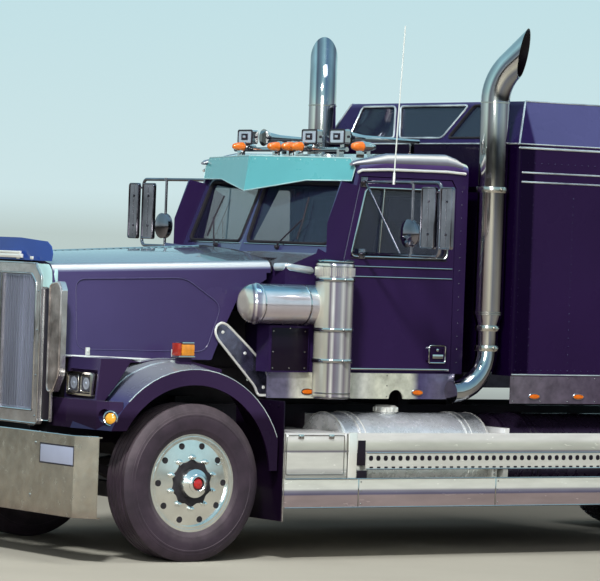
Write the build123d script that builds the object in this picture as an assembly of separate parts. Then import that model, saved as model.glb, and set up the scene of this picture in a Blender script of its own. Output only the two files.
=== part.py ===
from build123d import *
import os
from math import atan2, cos, degrees, radians, sin, sqrt

# Long-hood highway tractor unit with a separate sleeper box.
# Millimetres. +Z is up, the front points to -X and the driver's side to -Y.
# While modelling, x = 0 is the front axle; save() moves everything so that x = 0 is mid-length.

# Wheels and axles
TYRE_D = 1050
TYRE_W = 280
BEAD_R = 311
FLANGE_R = 326
BARREL_W = 236
AXLE_Z = TYRE_D / 2
STEER_TYRE_Y = 1040
KINGPIN_Y = 970
TIE_X = 190
TIE_Y = -KINGPIN_Y
TIE_ARM_Z = (AXLE_Z - 105, AXLE_Z - 70)
WHEELBASE = 6200
TANDEM_SPREAD = 1320
DUAL_OUTER_Y = 1096
DUAL_INNER_Y = 764
HAND_HOLES = 10
HAND_HOLE_R = 20
HAND_HOLE_PCR = 255
RUN_GAP = 0.08
SEAT = 0.3

# Chassis frame
RAIL_Y = 432
RAIL_H = 267
RAIL_FLANGE = 90
RAIL_T = 9
RAIL_BOTTOM = 750
RAIL_TOP = RAIL_BOTTOM + RAIL_H
RAIL_FRONT = -700
RAIL_REAR = WHEELBASE + 1500
EYE_Z = RAIL_BOTTOM - 82
SADDLE_H = 95.7
BOLT_DX = 160
BOLT_DZ = 60
BOLT_Z = RAIL_BOTTOM + RAIL_H / 2
BOLT_R = 9

# Powertrain
GEARBOX_REAR = 1955
GEARBOX_Z = 880
SHAFT_FRONT = GEARBOX_REAR + 15

# Hood, fenders and grille
HINGE_X = -762
HINGE_Z = 880
HINGE_PIN_R = 14
HINGE_EAR_Y = 300
HINGE_EAR_T = 20
HINGE_LUG_T = 32
HOOD_FRONT = -795
HOOD_REAR = 775
HOOD_T = 18
FENDER_Y = 1210
FENDER_IN_Y = 800
FENDER_R = 715
FENDER_IN_R = 775
ARCH_X = -30
ARCH_Z = 565
ARCH_R = 612
FENDER_T = 18
FENDER_REAR_Z = 607
FENDER_REAR_X = 640
HOOD_BASE_Z = 1330
VALANCE_BOTTOM = 872
VALANCE_TOP = 1062
GRILLE_X = -822
GRILLE_HALF = 450
GRILLE_BOTTOM = 970
GRILLE_TOP = 1870
SHELL_HALF = 525
SHELL_TOP = 1950
SHELL_ROUND = 30
WING_IN_Y = 650
WING_OUT_Y = 800
WING_ROUND = 30
# Outline of the wing beside each intake slot, as (y, z): a narrower foot and a broad body.
WING_OUTLINE = (
    (WING_IN_Y - 5, 1100), (WING_IN_Y - 5, 1815), (WING_OUT_Y - 35, 1835), (WING_OUT_Y, 1780), (WING_OUT_Y, 1215),
    (WING_OUT_Y - 75, 1100),
)
LAMP_X = -700
LAMP_T = 40
LAMP_Y = 850
LAMP_Z = 1165
LAMP_W = 330
LAMP_H = 165
LAMP_ROUND = 18
LAMP_POCKET = 8
TURN_Y = 1000
TURN_Z = 1350
ROUND_LAMP_R = 45
ROUND_LAMP_Y = 1120
ROUND_LAMP_Z = 965
# Hood sections: x, half width at the shoulder, shoulder z, crown z, half width at the base.
HOOD_SECTIONS = (
    (HOOD_FRONT, 600, 1945, 2010, 655),
    (HOOD_REAR, 850, 2012, 2095, 875),
)
DEFLECTOR_X = -855
DEFLECTOR_T = 8
DEFLECTOR_BEND = 3600
DEFLECTOR_HALF = ((590, 1962), (600, 2010), (585, 2060), (540, 2092), (250, 2112))
# Rear edge of the hood's side, and the outline of the bright guard behind it, as (x, z).
HOOD_SIDE_CUT = ((830, 1945), (530, 1742), (440, 1560), (330, 1300), (330, 1200), (830, 1200))
# Outline of the recessed panel in each side of the hood, as (x, z).
HOOD_PANEL = ((-635, 1385), (-635, 1850), (150, 1880), (415, 1700), (300, 1385))
PANEL_DEPTH = 5
PANEL_ROUND = 70
GUARD_Y = 824
GUARD_T = 10
GUARD_OUTLINE = (
    (372, 1478), (352, 1520), (362, 1562), (400, 1586), (450, 1570), (620, 1430), (755, 1310), (815, 1180), (815, 1092),
    (715, 1092), (690, 1155),
)

# Bumper
BUMPER_X = -880
BUMPER_BOTTOM = 300
BUMPER_TOP = 833
BUMPER_BEND_Y = 1090
BUMPER_Y = 1225
BUMPER_SWEEP = 100
BUMPER_T = 8
BUMPER_ROLL = 30

# Cab
CAB_FRONT = 815
CAB_REAR = 2340
CAB_Y = 970
CAB_BOTTOM = 1262
CAB_WALL = 50
COWL_TOP = 1975
ROOF_TOP = 2790
ROOF_ROUND = 60
GLASS_BASE_Z = 2095
GLASS_TOP_Z = 2600
GLASS_CENTRE_X = 1085
GLASS_SIDE_X = 1215
GLASS_SIDE_Y = 920
GLASS_RAKE = 0.40
GLASS_T = 8
FIREWALL_X = 1015
CAB_PROFILE = (
    (FIREWALL_X, CAB_BOTTOM), (FIREWALL_X, 1700), (CAB_FRONT, 1760), (CAB_FRONT, COWL_TOP),
    (GLASS_CENTRE_X - 20, GLASS_BASE_Z - 20),
    (GLASS_CENTRE_X + 190, GLASS_TOP_Z + 15), (1375, 2715), (1640, 2775), (2150, ROOF_TOP),
    (CAB_REAR, 2735), (CAB_REAR, CAB_BOTTOM),
)
CAB_INNER = (
    (FIREWALL_X + CAB_WALL, CAB_BOTTOM + CAB_WALL), (FIREWALL_X + CAB_WALL, COWL_TOP), (1500, 2670), (1650, 2725),
    (2150, ROOF_TOP - CAB_WALL), (CAB_REAR - CAB_WALL, 2690), (CAB_REAR - CAB_WALL, CAB_BOTTOM + CAB_WALL),
)

# Doors
DOOR_FRONT = 1300
DOOR_REAR = 2235
DOOR_BOTTOM = 1275
DOOR_TOP = 2610
DOOR_GAP = 6
SILL_Z = 2062
WINDOW_TOP = 2540
DOOR_OUTLINE = (
    (DOOR_FRONT, DOOR_BOTTOM), (DOOR_FRONT, SILL_Z - 20), (DOOR_FRONT + 125, DOOR_TOP),
    (DOOR_REAR - 40, DOOR_TOP), (DOOR_REAR, DOOR_TOP - 60), (DOOR_REAR, DOOR_BOTTOM),
)
WINDOW_OUTLINE = ((1352, SILL_Z), (1465, WINDOW_TOP), (2165, WINDOW_TOP), (2175, SILL_Z))
HANDLE = (2020, 2165, 1345, 1450)
HANDLE_ROUND = 14
DOOR_PIN_X = DOOR_FRONT - 3
DOOR_PIN_Y = CAB_Y + 14
DOOR_PIN_R = 6
DOOR_KNUCKLE_R = 12
DOOR_HINGES = (1400, 1900)

# Mirrors
MIRROR_REACH = 900
MIRROR_X = 1440
MIRROR_TOP = 2575
MIRROR_LOW = 2082
MIRROR_INNER = 580
ARM_R = 12
MIRROR_ROUND = 20
MIRROR_HEADS = ((1682, 1843), (1897, 2032))

# Visor: foot of its centre fold, backward rake and sweep, and its outline as (along, up).
VISOR_X = 1097
VISOR_Z = 2493
VISOR_RAKE = 0.19
VISOR_SWEEP = 0.27
VISOR_T = 5
VISOR_OUTLINE = ((0, 0), (0, 257), (930, 250), (985, 178), (970, 90), (560, 88))
VISOR_SLOPE = CAB_PROFILE[5:7]

# Roof: the lamp bar, the lamps' places across the cab, and the horns as y, front and rear.
ROOF_BAR_X = 1480
ROOF_BAR_Z = 2800
ROOF_BAR_R = 16
WORK_LAMPS = (515, -300, -640)
ROOF_MARKERS = (640, 200, 10, -150, -850)
HORN_Z = 2888
HORNS = ((400, 1520, 1900), (-500, 1620, 2240))

# Sleeper
SLEEPER_FRONT = 2600
SLEEPER_REAR = WHEELBASE - 1600
SLEEPER_Y = 1200
SLEEPER_WALL = 45
SLEEPER_KNEE = 2885
SLEEPER_TOP = 3195
SLEEPER_ROUND = 32
SLEEPER_LEAN = 140
SLEEPER_SECTION = (
    (-SLEEPER_Y, CAB_BOTTOM), (-SLEEPER_Y, SLEEPER_KNEE), (-SLEEPER_Y + SLEEPER_LEAN, SLEEPER_TOP),
    (SLEEPER_Y - SLEEPER_LEAN, SLEEPER_TOP), (SLEEPER_Y, SLEEPER_KNEE), (SLEEPER_Y, CAB_BOTTOM),
)
SLEEPER_SLOPE = 150
PASSAGE_HALF = 350
PASSAGE_TOP = 2500
BOOT_T = 60
# Grooves between the boot's folds: where each starts, and their width and depth.
FOLDS = (2390, 2450, 2510)
FOLD_W = 28
FOLD_D = 30
# Windows in the sloping front: outlines as (y, share of the slope's height).
SLEEPER_PANES = (
    ((-415, 0.92), (415, 0.92), (260, 0.15), (-260, 0.15)),
    ((-900, 0.92), (-480, 0.92), (-330, 0.15), (-900, 0.15)),
    ((900, 0.92), (480, 0.92), (330, 0.15), (900, 0.15)),
)

# Exhaust stacks
STACK_X = 2482
STACK_Y = 1062
STACK_R = 102
STACK_BEND_Z = 3180
STACK_TURN_R = 350
STACK_CUT = ((2680, 3384), (2749, 3743))

# Air cleaners
CLEANER_X = 1128
CLEANER_Y = 1112
CLEANER_ROLL = 24
CLEANER_BAND = 6
CLEANER_R = 132
CLEANER_BOTTOM = 1090
CLEANER_TOP = 2020
INTAKE_Z = 1722
INTAKE_R = 136
INTAKE_Y = 1000
INTAKE_FRONT = 455

# Tanks and steps
TANK_R = 295
TANK_Y = 850
STRAP_T = 4
TANK_ROLL = 28
CAP_X = 1780
CAP_R = 48
SKIRT_BOTTOM = 1085
TANK_Z = 690
TANK_FRONT = 1255
TANK_REAR = 2500
STEP_Y = 1215
STEP_IN_Y = 1152
STEP_FRONT = 700
STEP_REAR = SLEEPER_REAR - 10

# Fifth wheel
FIFTH_X = WHEELBASE - 250
FIFTH_TOP = 1235
FIFTH_PIVOT_Z = 1150
KING_LOCK_R = 26.2

# Mud flaps and tail lamps
FLAP_X = WHEELBASE + 1260
FLAP_TOP = 960
TAIL_LAMP_R = 42
LAMP_ROW = (900, 1010, 1120)
TAIL_BAR_BOTTOM = 660

REAR_AXLES = (WHEELBASE - TANDEM_SPREAD / 2, WHEELBASE + TANDEM_SPREAD / 2)
OVERALL_SHIFT = -(BUMPER_X + RAIL_REAR) / 2

os.makedirs("parts", exist_ok=True)


def save(name, *solids):
    group = Compound(children=[Pos(OVERALL_SHIFT, 0, 0) * s for s in solids])
    export_step(group, f"parts/{name}.step")


def solids_of(shape):
    return list(shape.solids())


def block(x0, x1, y0, y1, z0, z1):
    return Pos((x0 + x1) / 2, (y0 + y1) / 2, (z0 + z1) / 2) * Box(x1 - x0, y1 - y0, z1 - z0)


def mirrored(shape):
    return mirror(shape, about=Plane.XZ)


def both_sides(shape):
    return solids_of(shape) + solids_of(mirrored(shape))


def side_prism(points, y0, y1):
    # Prism of an outline given as (x, z), from y0 to y1.
    face = make_face(Polyline(*[(x, y0, z) for x, z in points], close=True))
    return extrude(face, amount=abs(y1 - y0), dir=(0, 1 if y1 > y0 else -1, 0))


def plan_prism(points, z0, z1):
    # Prism of an outline given as (x, y), from z0 up to z1.
    face = make_face(Polyline(*[(x, y, z0) for x, y in points], close=True))
    return extrude(face, amount=z1 - z0, dir=(0, 0, 1))


def front_prism(points, x0, x1):
    # Prism of an outline given as (y, z), from x0 to x1.
    face = make_face(Polyline(*[(x0, y, z) for y, z in points], close=True))
    return extrude(face, amount=x1 - x0, dir=(1, 0, 0))


def y_cylinder(radius, x, z, y0, y1):
    return Pos(x, (y0 + y1) / 2, z) * Rot(90, 0, 0) * Cylinder(radius, abs(y1 - y0))


def x_cylinder(radius, y, z, x0, x1):
    return Pos((x0 + x1) / 2, y, z) * Rot(0, 90, 0) * Cylinder(radius, abs(x1 - x0))


def z_cylinder(radius, x, y, z0, z1):
    return Pos(x, y, (z0 + z1) / 2) * Cylinder(radius, z1 - z0)


def revolved(points, x, z):
    # Solid of revolution about the line along Y through (x, z), of an outline given as (y, radius).
    face = make_face(Polyline(*[(0, y, r) for y, r in points], close=True))
    return Pos(x, 0, z) * revolve(face, Axis((0, 0, 0), (0, 1, 0)), 360)


def tube(points, radius, bend):
    # Round bar along straight runs with rounded corners.
    path = FilletPolyline(*points, radius=bend)
    return sweep(Plane(path @ 0, z_dir=path % 0) * Circle(radius), path)


def tyre(x, y):
    half = TYRE_W / 2
    outline = [
        (-0.37 * TYRE_W, BEAD_R + SEAT),
        (-half, 0.80 * AXLE_Z),
        (-0.46 * TYRE_W, 0.945 * AXLE_Z),
        (-0.40 * TYRE_W, AXLE_Z),
        (0.40 * TYRE_W, AXLE_Z),
        (0.46 * TYRE_W, 0.945 * AXLE_Z),
        (half, 0.80 * AXLE_Z),
        (0.37 * TYRE_W, BEAD_R + SEAT),
    ]
    return revolved([(y + dy, r) for dy, r in outline], x, AXLE_Z)


def barrel(x, y):
    # Rim barrel with a flange at each end.
    half = BARREL_W / 2
    outline = [
        (-half, FLANGE_R),
        (-0.95 * half, FLANGE_R),
        (-0.90 * half, BEAD_R),
        (0.90 * half, BEAD_R),
        (0.95 * half, FLANGE_R),
        (half, FLANGE_R),
        (half, BEAD_R - 22),
        (-half, BEAD_R - 22),
    ]
    return revolved([(y + dy, r) for dy, r in outline], x, AXLE_Z)


def hand_holes(x, y0, y1):
    holes = []
    for k in range(HAND_HOLES):
        a = radians(360 * k / HAND_HOLES)
        holes.append(y_cylinder(HAND_HOLE_R, x + HAND_HOLE_PCR * cos(a), AXLE_Z + HAND_HOLE_PCR * sin(a), y0, y1))
    return holes


def save_wheels():
    # Steered wheels: disc near the outer face, hub and brake drum inside.
    disc = STEER_TYRE_Y + 88
    hub = [
        (-disc + 14, BEAD_R - 10),
        (-disc - 8, BEAD_R - 10),
        (-disc - 22, 150),
        (-disc - 22, 105),
        (-disc - 72, 95),
        (-disc - 92, 62),
        (-disc - 92, 0),
        (-disc - 40, 0),
        (-disc - 40, 40 + RUN_GAP),
        (-STEER_TYRE_Y - 46, 40 + RUN_GAP),
        (-STEER_TYRE_Y - 46, 95),
        (-disc + 30, 110),
        (-disc + 30, 193),
        (-STEER_TYRE_Y + 30, 193),
        (-STEER_TYRE_Y + 30, 208),
        (-disc + 14, 208),
    ]
    rim = revolved(hub, 0, AXLE_Z) + barrel(0, -STEER_TYRE_Y)
    for hole in hand_holes(0, -disc - 60, -disc + 60):
        rim -= hole
    save("tyre_front_left", tyre(0, -STEER_TYRE_Y))
    save("tyre_front_right", mirrored(tyre(0, -STEER_TYRE_Y)))
    save("rim_front_left", rim)
    save("rim_front_right", mirrored(rim))

    # Driven wheels: two rims back to back on one hub, with the outer disc deep inside.
    for place, x in zip(("middle", "rear"), REAR_AXLES):
        face = DUAL_OUTER_Y - 118
        hub = [
            (-face + 34, BEAD_R - 10),
            (-face - 14, BEAD_R - 10),
            (-face - 14, 140),
            (-face - 95, 120),
            (-face - 120, 98),
            (-face - 120, 0),
            (-face - 70, 0),
            (-face - 70, 50 + RUN_GAP),
            (-DUAL_INNER_Y + 60, 50 + RUN_GAP),
            (-DUAL_INNER_Y + 60, 120),
            (-face + 34, 120),
        ]
        drum = [
            (-face + 30, 120),
            (-face + 30, 208),
            (-DUAL_INNER_Y + 90, 208),
            (-DUAL_INNER_Y + 90, 193),
            (-face + 50, 193),
            (-face + 50, 120),
        ]
        inner_face = DUAL_INNER_Y + 118
        web = [
            (-inner_face - 26, BEAD_R - 10),
            (-inner_face + 4, BEAD_R - 10),
            (-face + 34, 150),
            (-face + 34, 118),
            (-face + 4, 118),
            (-face + 4, BEAD_R - 10),
        ]
        rim = revolved(hub, x, AXLE_Z) + revolved(drum, x, AXLE_Z) + revolved(web, x, AXLE_Z)
        rim += barrel(x, -DUAL_OUTER_Y)
        rim += barrel(x, -DUAL_INNER_Y)
        for hole in hand_holes(x, -face - 60, -face + 20):
            rim -= hole
        tyres = [tyre(x, -DUAL_OUTER_Y), tyre(x, -DUAL_INNER_Y)]
        save(f"rim_{place}_left", rim)
        save(f"rim_{place}_right", mirrored(rim))
        save(f"tyres_{place}_left", *tyres)
        save(f"tyres_{place}_right", *[mirrored(t) for t in tyres])


def save_front_axle():
    # Dropped beam with a kingpin eye at each end.
    half = [
        (0, AXLE_Z - 155),
        (460, AXLE_Z - 155),
        (640, AXLE_Z - 60),
        (KINGPIN_Y - 50, AXLE_Z - 45),
        (KINGPIN_Y - 50, AXLE_Z + 45),
        (620, AXLE_Z + 30),
        (450, AXLE_Z - 60),
        (0, AXLE_Z - 60),
    ]
    beam = front_prism(half, -45, 45)
    beam += mirrored(beam)
    for side in (-1, 1):
        y = side * KINGPIN_Y
        beam += z_cylinder(58, 0, y, AXLE_Z - 55, AXLE_Z + 55)
        beam -= z_cylinder(25 + RUN_GAP, 0, y, AXLE_Z - 80, AXLE_Z + 80)
    save("front_axle", beam)

    # Knuckle: two ears round the eye, the spindle outboard and the steering arm behind.
    y = -KINGPIN_Y
    ears = [(AXLE_Z - 105, AXLE_Z - 62), (AXLE_Z + 62, AXLE_Z + 105)]
    knuckle = z_cylinder(25, 0, y, AXLE_Z - 105, AXLE_Z + 105)
    for low, high in ears:
        knuckle += z_cylinder(56, 0, y, low, high)
        knuckle += block(-45, 45, y - 100, y, low, high)
    knuckle += block(-60, 60, y - 110, y - 70, AXLE_Z - 105, AXLE_Z + 105)
    knuckle += y_cylinder(40, 0, AXLE_Z, y - 100, -STEER_TYRE_Y - 120)
    arm = plan_prism([(20, y - 30), (20, y + 30), (TIE_X + 22, TIE_Y + 22), (TIE_X + 22, TIE_Y - 22)], *TIE_ARM_Z)
    knuckle += arm
    knuckle += z_cylinder(26, TIE_X, TIE_Y, *TIE_ARM_Z)
    knuckle -= z_cylinder(12 + RUN_GAP, TIE_X, TIE_Y, TIE_ARM_Z[0] - 5, TIE_ARM_Z[1] + 5)
    save("knuckle_left", knuckle)
    save("knuckle_right", mirrored(knuckle))

    # Tie rod: a bar under the arms with an eye and an upright pin at each end.
    low = TIE_ARM_Z[0] - 8 - 36
    rod = y_cylinder(17, TIE_X, low + 18, TIE_Y, -TIE_Y)
    for y in (TIE_Y, -TIE_Y):
        rod += z_cylinder(28, TIE_X, y, low, low + 36)
        rod += z_cylinder(12, TIE_X, y, low, TIE_ARM_Z[1] + 2)
    save("tie_rod", rod)


def save_frame():
    profile = [
        (RAIL_Y, RAIL_BOTTOM),
        (RAIL_Y, RAIL_TOP),
        (RAIL_Y - RAIL_FLANGE, RAIL_TOP),
        (RAIL_Y - RAIL_FLANGE, RAIL_TOP - RAIL_T),
        (RAIL_Y - RAIL_T, RAIL_TOP - RAIL_T),
        (RAIL_Y - RAIL_T, RAIL_BOTTOM + RAIL_T),
        (RAIL_Y - RAIL_FLANGE, RAIL_BOTTOM + RAIL_T),
        (RAIL_Y - RAIL_FLANGE, RAIL_BOTTOM),
    ]
    rail = front_prism(profile, RAIL_FRONT, RAIL_REAR)
    save("frame_rails", *both_sides(rail))

    # Crossmembers: centre x, half width along x, bottom and top.
    members = (
        (-640, 60, RAIL_BOTTOM, HINGE_Z + 20),
        (GEARBOX_REAR + 195, 50, RAIL_TOP - 87, RAIL_TOP - 12),
        ((SLEEPER_FRONT + SLEEPER_REAR) / 2 - 300, 50, RAIL_BOTTOM + 100, RAIL_TOP - 17),
        (SLEEPER_REAR, 50, RAIL_BOTTOM + 50, RAIL_TOP - 17),
        (WHEELBASE, 110, RAIL_BOTTOM + 20, RAIL_TOP - 20),
        (RAIL_REAR - 12, 12, RAIL_BOTTOM, RAIL_TOP),
    )
    rails = rail + mirrored(rail)
    crossmembers = []
    for x, half, low, high in members:
        member = block(x - half, x + half, -RAIL_Y + RAIL_T, RAIL_Y - RAIL_T, low, high) - rails
        crossmembers.append(member)
    for dx in (-BOLT_DX, BOLT_DX):
        for dz in (-BOLT_DZ, BOLT_DZ):
            crossmembers[-1] -= x_cylinder(BOLT_R, dx, BOLT_Z + dz, RAIL_REAR - 40, RAIL_REAR + 10)
    # Bumper brackets and the hood's hinge ears on the front member.
    front = crossmembers[0]
    for side in (-1, 1):
        y = side * 387
        front += block(BUMPER_X + BUMPER_T, -640, y - 12, y + 12, RAIL_BOTTOM - 180, 790)
        ear_y = side * HINGE_EAR_Y
        half = HINGE_EAR_T / 2
        front += y_cylinder(24, HINGE_X, HINGE_Z, ear_y - half, ear_y + half)
        front += block(HINGE_X + 5, -560, ear_y - half, ear_y + half, 790, HINGE_Z + 22)
        front += y_cylinder(HINGE_PIN_R, HINGE_X, HINGE_Z, ear_y, ear_y + side * (half + HINGE_LUG_T + 12))
    crossmembers[0] = front - rails

    # Pads on the rails that carry the cab and the sleeper.
    pads = []
    for x in (1100, CAB_REAR - 100, SLEEPER_FRONT + 120, SLEEPER_REAR - 140):
        for side in (-1, 1):
            ys = sorted((side * (RAIL_Y - RAIL_FLANGE + 5), side * (RAIL_Y - 5)))
            pads.append(block(x - 45, x + 45, *ys, RAIL_TOP, CAB_BOTTOM - SEAT))

    # Lamp bar under the rails' ends, and the arms that carry the mud flaps.
    bars = [block(RAIL_REAR - 80, RAIL_REAR - 30, -1180, 1180, TAIL_BAR_BOTTOM, RAIL_BOTTOM - SEAT)]
    for side in (-1, 1):
        ys = sorted((side * (RAIL_Y + SEAT), side * 1240))
        bars.append(block(FLAP_X - 25, FLAP_X + 25, *ys, FLAP_TOP + SEAT, FLAP_TOP + 50))
    save("frame_members", *crossmembers, *pads, *bars)


def save_bumper():
    outline = [
        (BUMPER_X + BUMPER_SWEEP, -BUMPER_Y),
        (BUMPER_X, -BUMPER_BEND_Y),
        (BUMPER_X, BUMPER_BEND_Y),
        (BUMPER_X + BUMPER_SWEEP, BUMPER_Y),
        (BUMPER_X + BUMPER_SWEEP + BUMPER_T, BUMPER_Y),
        (BUMPER_X + BUMPER_T, BUMPER_BEND_Y - 2),
        (BUMPER_X + BUMPER_T, -BUMPER_BEND_Y + 2),
        (BUMPER_X + BUMPER_SWEEP + BUMPER_T, -BUMPER_Y),
    ]
    plate = plan_prism(outline, BUMPER_BOTTOM, BUMPER_TOP)
    back = [(x + BUMPER_ROLL, y) for x, y in reversed(outline[:4])]
    for z in (BUMPER_BOTTOM, BUMPER_TOP - BUMPER_T):
        plate += plan_prism(outline[:4] + back, z, z + BUMPER_T)
    save("bumper", plate)


def save_suspension():
    parts = []
    for side in (-1, 1):
        y0 = side * (RAIL_Y - RAIL_FLANGE)
        y1 = side * (RAIL_Y - 5)
        ys = sorted((y0, y1))
        # Front leaf pack: thick in the middle, eyes under the rail.
        pad = AXLE_Z - 60
        leaf = [
            (-600, EYE_Z), (-600, EYE_Z + 22), (-300, pad + 135), (0, pad + 107), (300, pad + 135), (600, EYE_Z + 22),
            (600, EYE_Z), (300, pad + 95), (90, pad + SEAT), (-90, pad + SEAT), (-300, pad + 95),
        ]
        spring = side_prism(leaf, *ys)
        for x in (-600, 600):
            spring += block(x - 35, x + 35, *ys, EYE_Z, RAIL_BOTTOM - SEAT)
        parts.append(spring)
        # Rear leaf pack from axle to axle, clamped in a saddle under the rail.
        low = AXLE_Z + 95 + SEAT
        arch = RAIL_BOTTOM - SADDLE_H
        a, b = REAR_AXLES
        mid = WHEELBASE
        leaf = [
            (a - 90, low), (a + 90, low), (mid - 250, arch), (mid + 250, arch), (b - 90, low), (b + 90, low),
            (b + 90, low + 24), (mid + 180, RAIL_BOTTOM - 30), (mid + 180, RAIL_BOTTOM - SEAT),
            (mid - 180, RAIL_BOTTOM - SEAT), (mid - 180, RAIL_BOTTOM - 30), (a - 90, low + 24),
        ]
        parts.append(side_prism(leaf, *ys))
    save("suspension", *parts)


def save_drive_axles():
    solids = []
    for x in REAR_AXLES:
        axle = y_cylinder(78, x, AXLE_Z, -DUAL_INNER_Y + 100, DUAL_INNER_Y - 100)
        for side in (-1, 1):
            axle += y_cylinder(50, x, AXLE_Z, side * (DUAL_INNER_Y - 120), side * (DUAL_OUTER_Y - 118 + 65))
            ys = sorted((side * (RAIL_Y - RAIL_FLANGE), side * (RAIL_Y - 5)))
            axle += block(x - 90, x + 90, *ys, AXLE_Z, AXLE_Z + 95)
        axle += Pos(x, 0, AXLE_Z) * Sphere(215)
        axle += x_cylinder(95, 0, AXLE_Z + 40, x - 330, x)
        solids.append(axle)
    solids[1] += x_cylinder(55, 0, AXLE_Z + 40, REAR_AXLES[0] + 150, REAR_AXLES[1] - 300)
    solids[0] += x_cylinder(60, 0, AXLE_Z + 40, REAR_AXLES[0] - 900, REAR_AXLES[0] - 300)
    joined = solids[0] + solids[1]
    shaft_end = REAR_AXLES[0] - 880
    rise = GEARBOX_Z - (AXLE_Z + 40)
    length = shaft_end - SHAFT_FRONT
    angle = degrees(atan2(rise, length))
    shaft = Pos((shaft_end + SHAFT_FRONT) / 2, 0, (GEARBOX_Z + AXLE_Z + 40) / 2) * Rot(0, 90 + angle, 0)
    joined += shaft * Cylinder(60, sqrt(rise ** 2 + length ** 2))
    save("drive_axles", joined)


def save_powertrain():
    block_points = [
        (-250, 830), (80, 640), (950, 640), (1120, 760), (GEARBOX_REAR, 790), (GEARBOX_REAR, 970), (1700, 1080), (985, 1170),
        (950, 1650), (-250, 1650),
    ]
    engine = side_prism(block_points, -290, 290)
    mounts = []
    for side in (-1, 1):
        ys = sorted((side * (290 + SEAT), side * 400))
        mounts.append(block(330, 480, *ys, RAIL_TOP + SEAT, RAIL_TOP + 50))
    radiator = block(-600, -500, -RAIL_Y, RAIL_Y, RAIL_TOP + SEAT, 1830)
    save("powertrain", engine, radiator, *mounts)


def hood_section(x, half, shoulder_z, crown_z, base_half, base_z, inset):
    # Cross-section of the hood: crowned top, rounded shoulders and nearly upright sides.
    h = half - inset
    b = base_half - inset
    s = shoulder_z - inset
    c = crown_z - inset
    r = 55
    k = 0.29289 * r
    left_side = Line((x, -b, base_z), (x, -h, s - r))
    left_round = ThreePointArc((x, -h, s - r), (x, -h + k, s - k), (x, -h + r, s + 4))
    top = ThreePointArc((x, -h + r, s + 4), (x, 0, c), (x, h - r, s + 4))
    right_round = ThreePointArc((x, h - r, s + 4), (x, h - k, s - k), (x, h, s - r))
    right_side = Line((x, h, s - r), (x, b, base_z))
    bottom = Line((x, b, base_z), (x, -b, base_z))
    return make_face([left_side, left_round, top, right_round, right_side, bottom])


def save_hood():
    outer = loft([hood_section(x, h, s, c, b, HOOD_BASE_Z, 0) for x, h, s, c, b in HOOD_SECTIONS])
    inner = loft([hood_section(x, h, s, c, b, HOOD_BASE_Z - 5, HOOD_T) for x, h, s, c, b in HOOD_SECTIONS])
    hood = outer - Pos(-1, 0, 0) * inner
    panel_floor = loft([hood_section(x, h, s, c, b, HOOD_BASE_Z, PANEL_DEPTH) for x, h, s, c, b in HOOD_SECTIONS])
    panel = fillet(side_prism(HOOD_PANEL, -1200, 1200).edges().filter_by(Axis.Y), PANEL_ROUND)
    hood -= panel - panel_floor
    hood -= block(HOOD_REAR - 30, HOOD_REAR + 10, -2000, 2000, 1000, 1930)
    hood -= side_prism(HOOD_SIDE_CUT, -1200, 1200)

    # Fender: a flared arch with a broad band round the wheel opening.
    cone = Pos(ARCH_X, -(FENDER_Y + FENDER_IN_Y) / 2, ARCH_Z) * Rot(90, 0, 0)
    width = FENDER_Y - FENDER_IN_Y
    fender = cone * Cone(FENDER_IN_R, FENDER_R, width)
    hollow = Pos(ARCH_X, -(FENDER_Y + FENDER_IN_Y) / 2 + FENDER_T, ARCH_Z) * Rot(90, 0, 0)
    fender -= hollow * Cone(FENDER_IN_R - FENDER_T, FENDER_R - FENDER_T, width)
    fender -= y_cylinder(ARCH_R, ARCH_X, ARCH_Z, -FENDER_Y - 5, -FENDER_Y + 60)
    fender -= block(-2000, 2000, -2000, 0, -2000, FENDER_REAR_Z)
    fender -= block(-2000, ARCH_X - 300, -2000, 0, -2000, VALANCE_BOTTOM)
    fender -= block(FENDER_REAR_X, 2000, -2000, 0, 0, 2000)
    # Front valance, from the grille to the fender's front edge.
    valance = plan_prism([
        (-745, -SHELL_HALF - 10), (-700, -1060), (-660, -1150), (-590, -FENDER_Y),
        (-570, -FENDER_Y + 30), (-630, -1125), (-670, -1035), (-715, -SHELL_HALF - 10),
    ], VALANCE_BOTTOM, VALANCE_TOP)
    # Lamp nacelle between the grille wing and the fender.
    nacelle = side_prism([(-700, VALANCE_TOP - 5), (-672, HOOD_BASE_Z + 8), (-430, HOOD_BASE_Z + 8), (-560, 1150),
                          (-640, VALANCE_TOP - 5)], -1050, -640)
    back = LAMP_X + LAMP_T + SEAT
    nacelle -= block(back - 120, back, -LAMP_Y - LAMP_W / 2 - 12, -LAMP_Y + LAMP_W / 2 + 12,
                     LAMP_Z - LAMP_H / 2 - 12, LAMP_Z + LAMP_H / 2 + 12)
    deck = side_prism([(-672, HOOD_BASE_Z + 8), (-450, HOOD_BASE_Z + 8), (-250, HOOD_BASE_Z - 18),
                       (-120, HOOD_BASE_Z), (60, HOOD_BASE_Z + 8), (400, HOOD_BASE_Z - 60),
                       (400, HOOD_BASE_Z - 85), (60, HOOD_BASE_Z - 22), (-672, HOOD_BASE_Z - 22)], -860, -640)
    pedestal = block(-50, 50, -TURN_Y - 20, -TURN_Y + 20, TURN_Z - 55, TURN_Z)
    left = fender + valance + nacelle + deck + pedestal
    left -= x_cylinder(ROUND_LAMP_R + 1, -ROUND_LAMP_Y, ROUND_LAMP_Z, -800, -630)
    save("hood", hood)
    save("fenders", *both_sides(left - outer))
    # Bright guard behind the hood's side, on a spacer that is cut to the hood's slope.
    guard = side_prism(GUARD_OUTLINE, -GUARD_Y - GUARD_T, -GUARD_Y)
    guard += block(362, 408, -GUARD_Y - 1, -760, 1495, 1545)
    hood_side = outer - side_prism(HOOD_SIDE_CUT, -1200, 1200)
    save("splash_guards", *both_sides(guard - hood_side))


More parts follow.
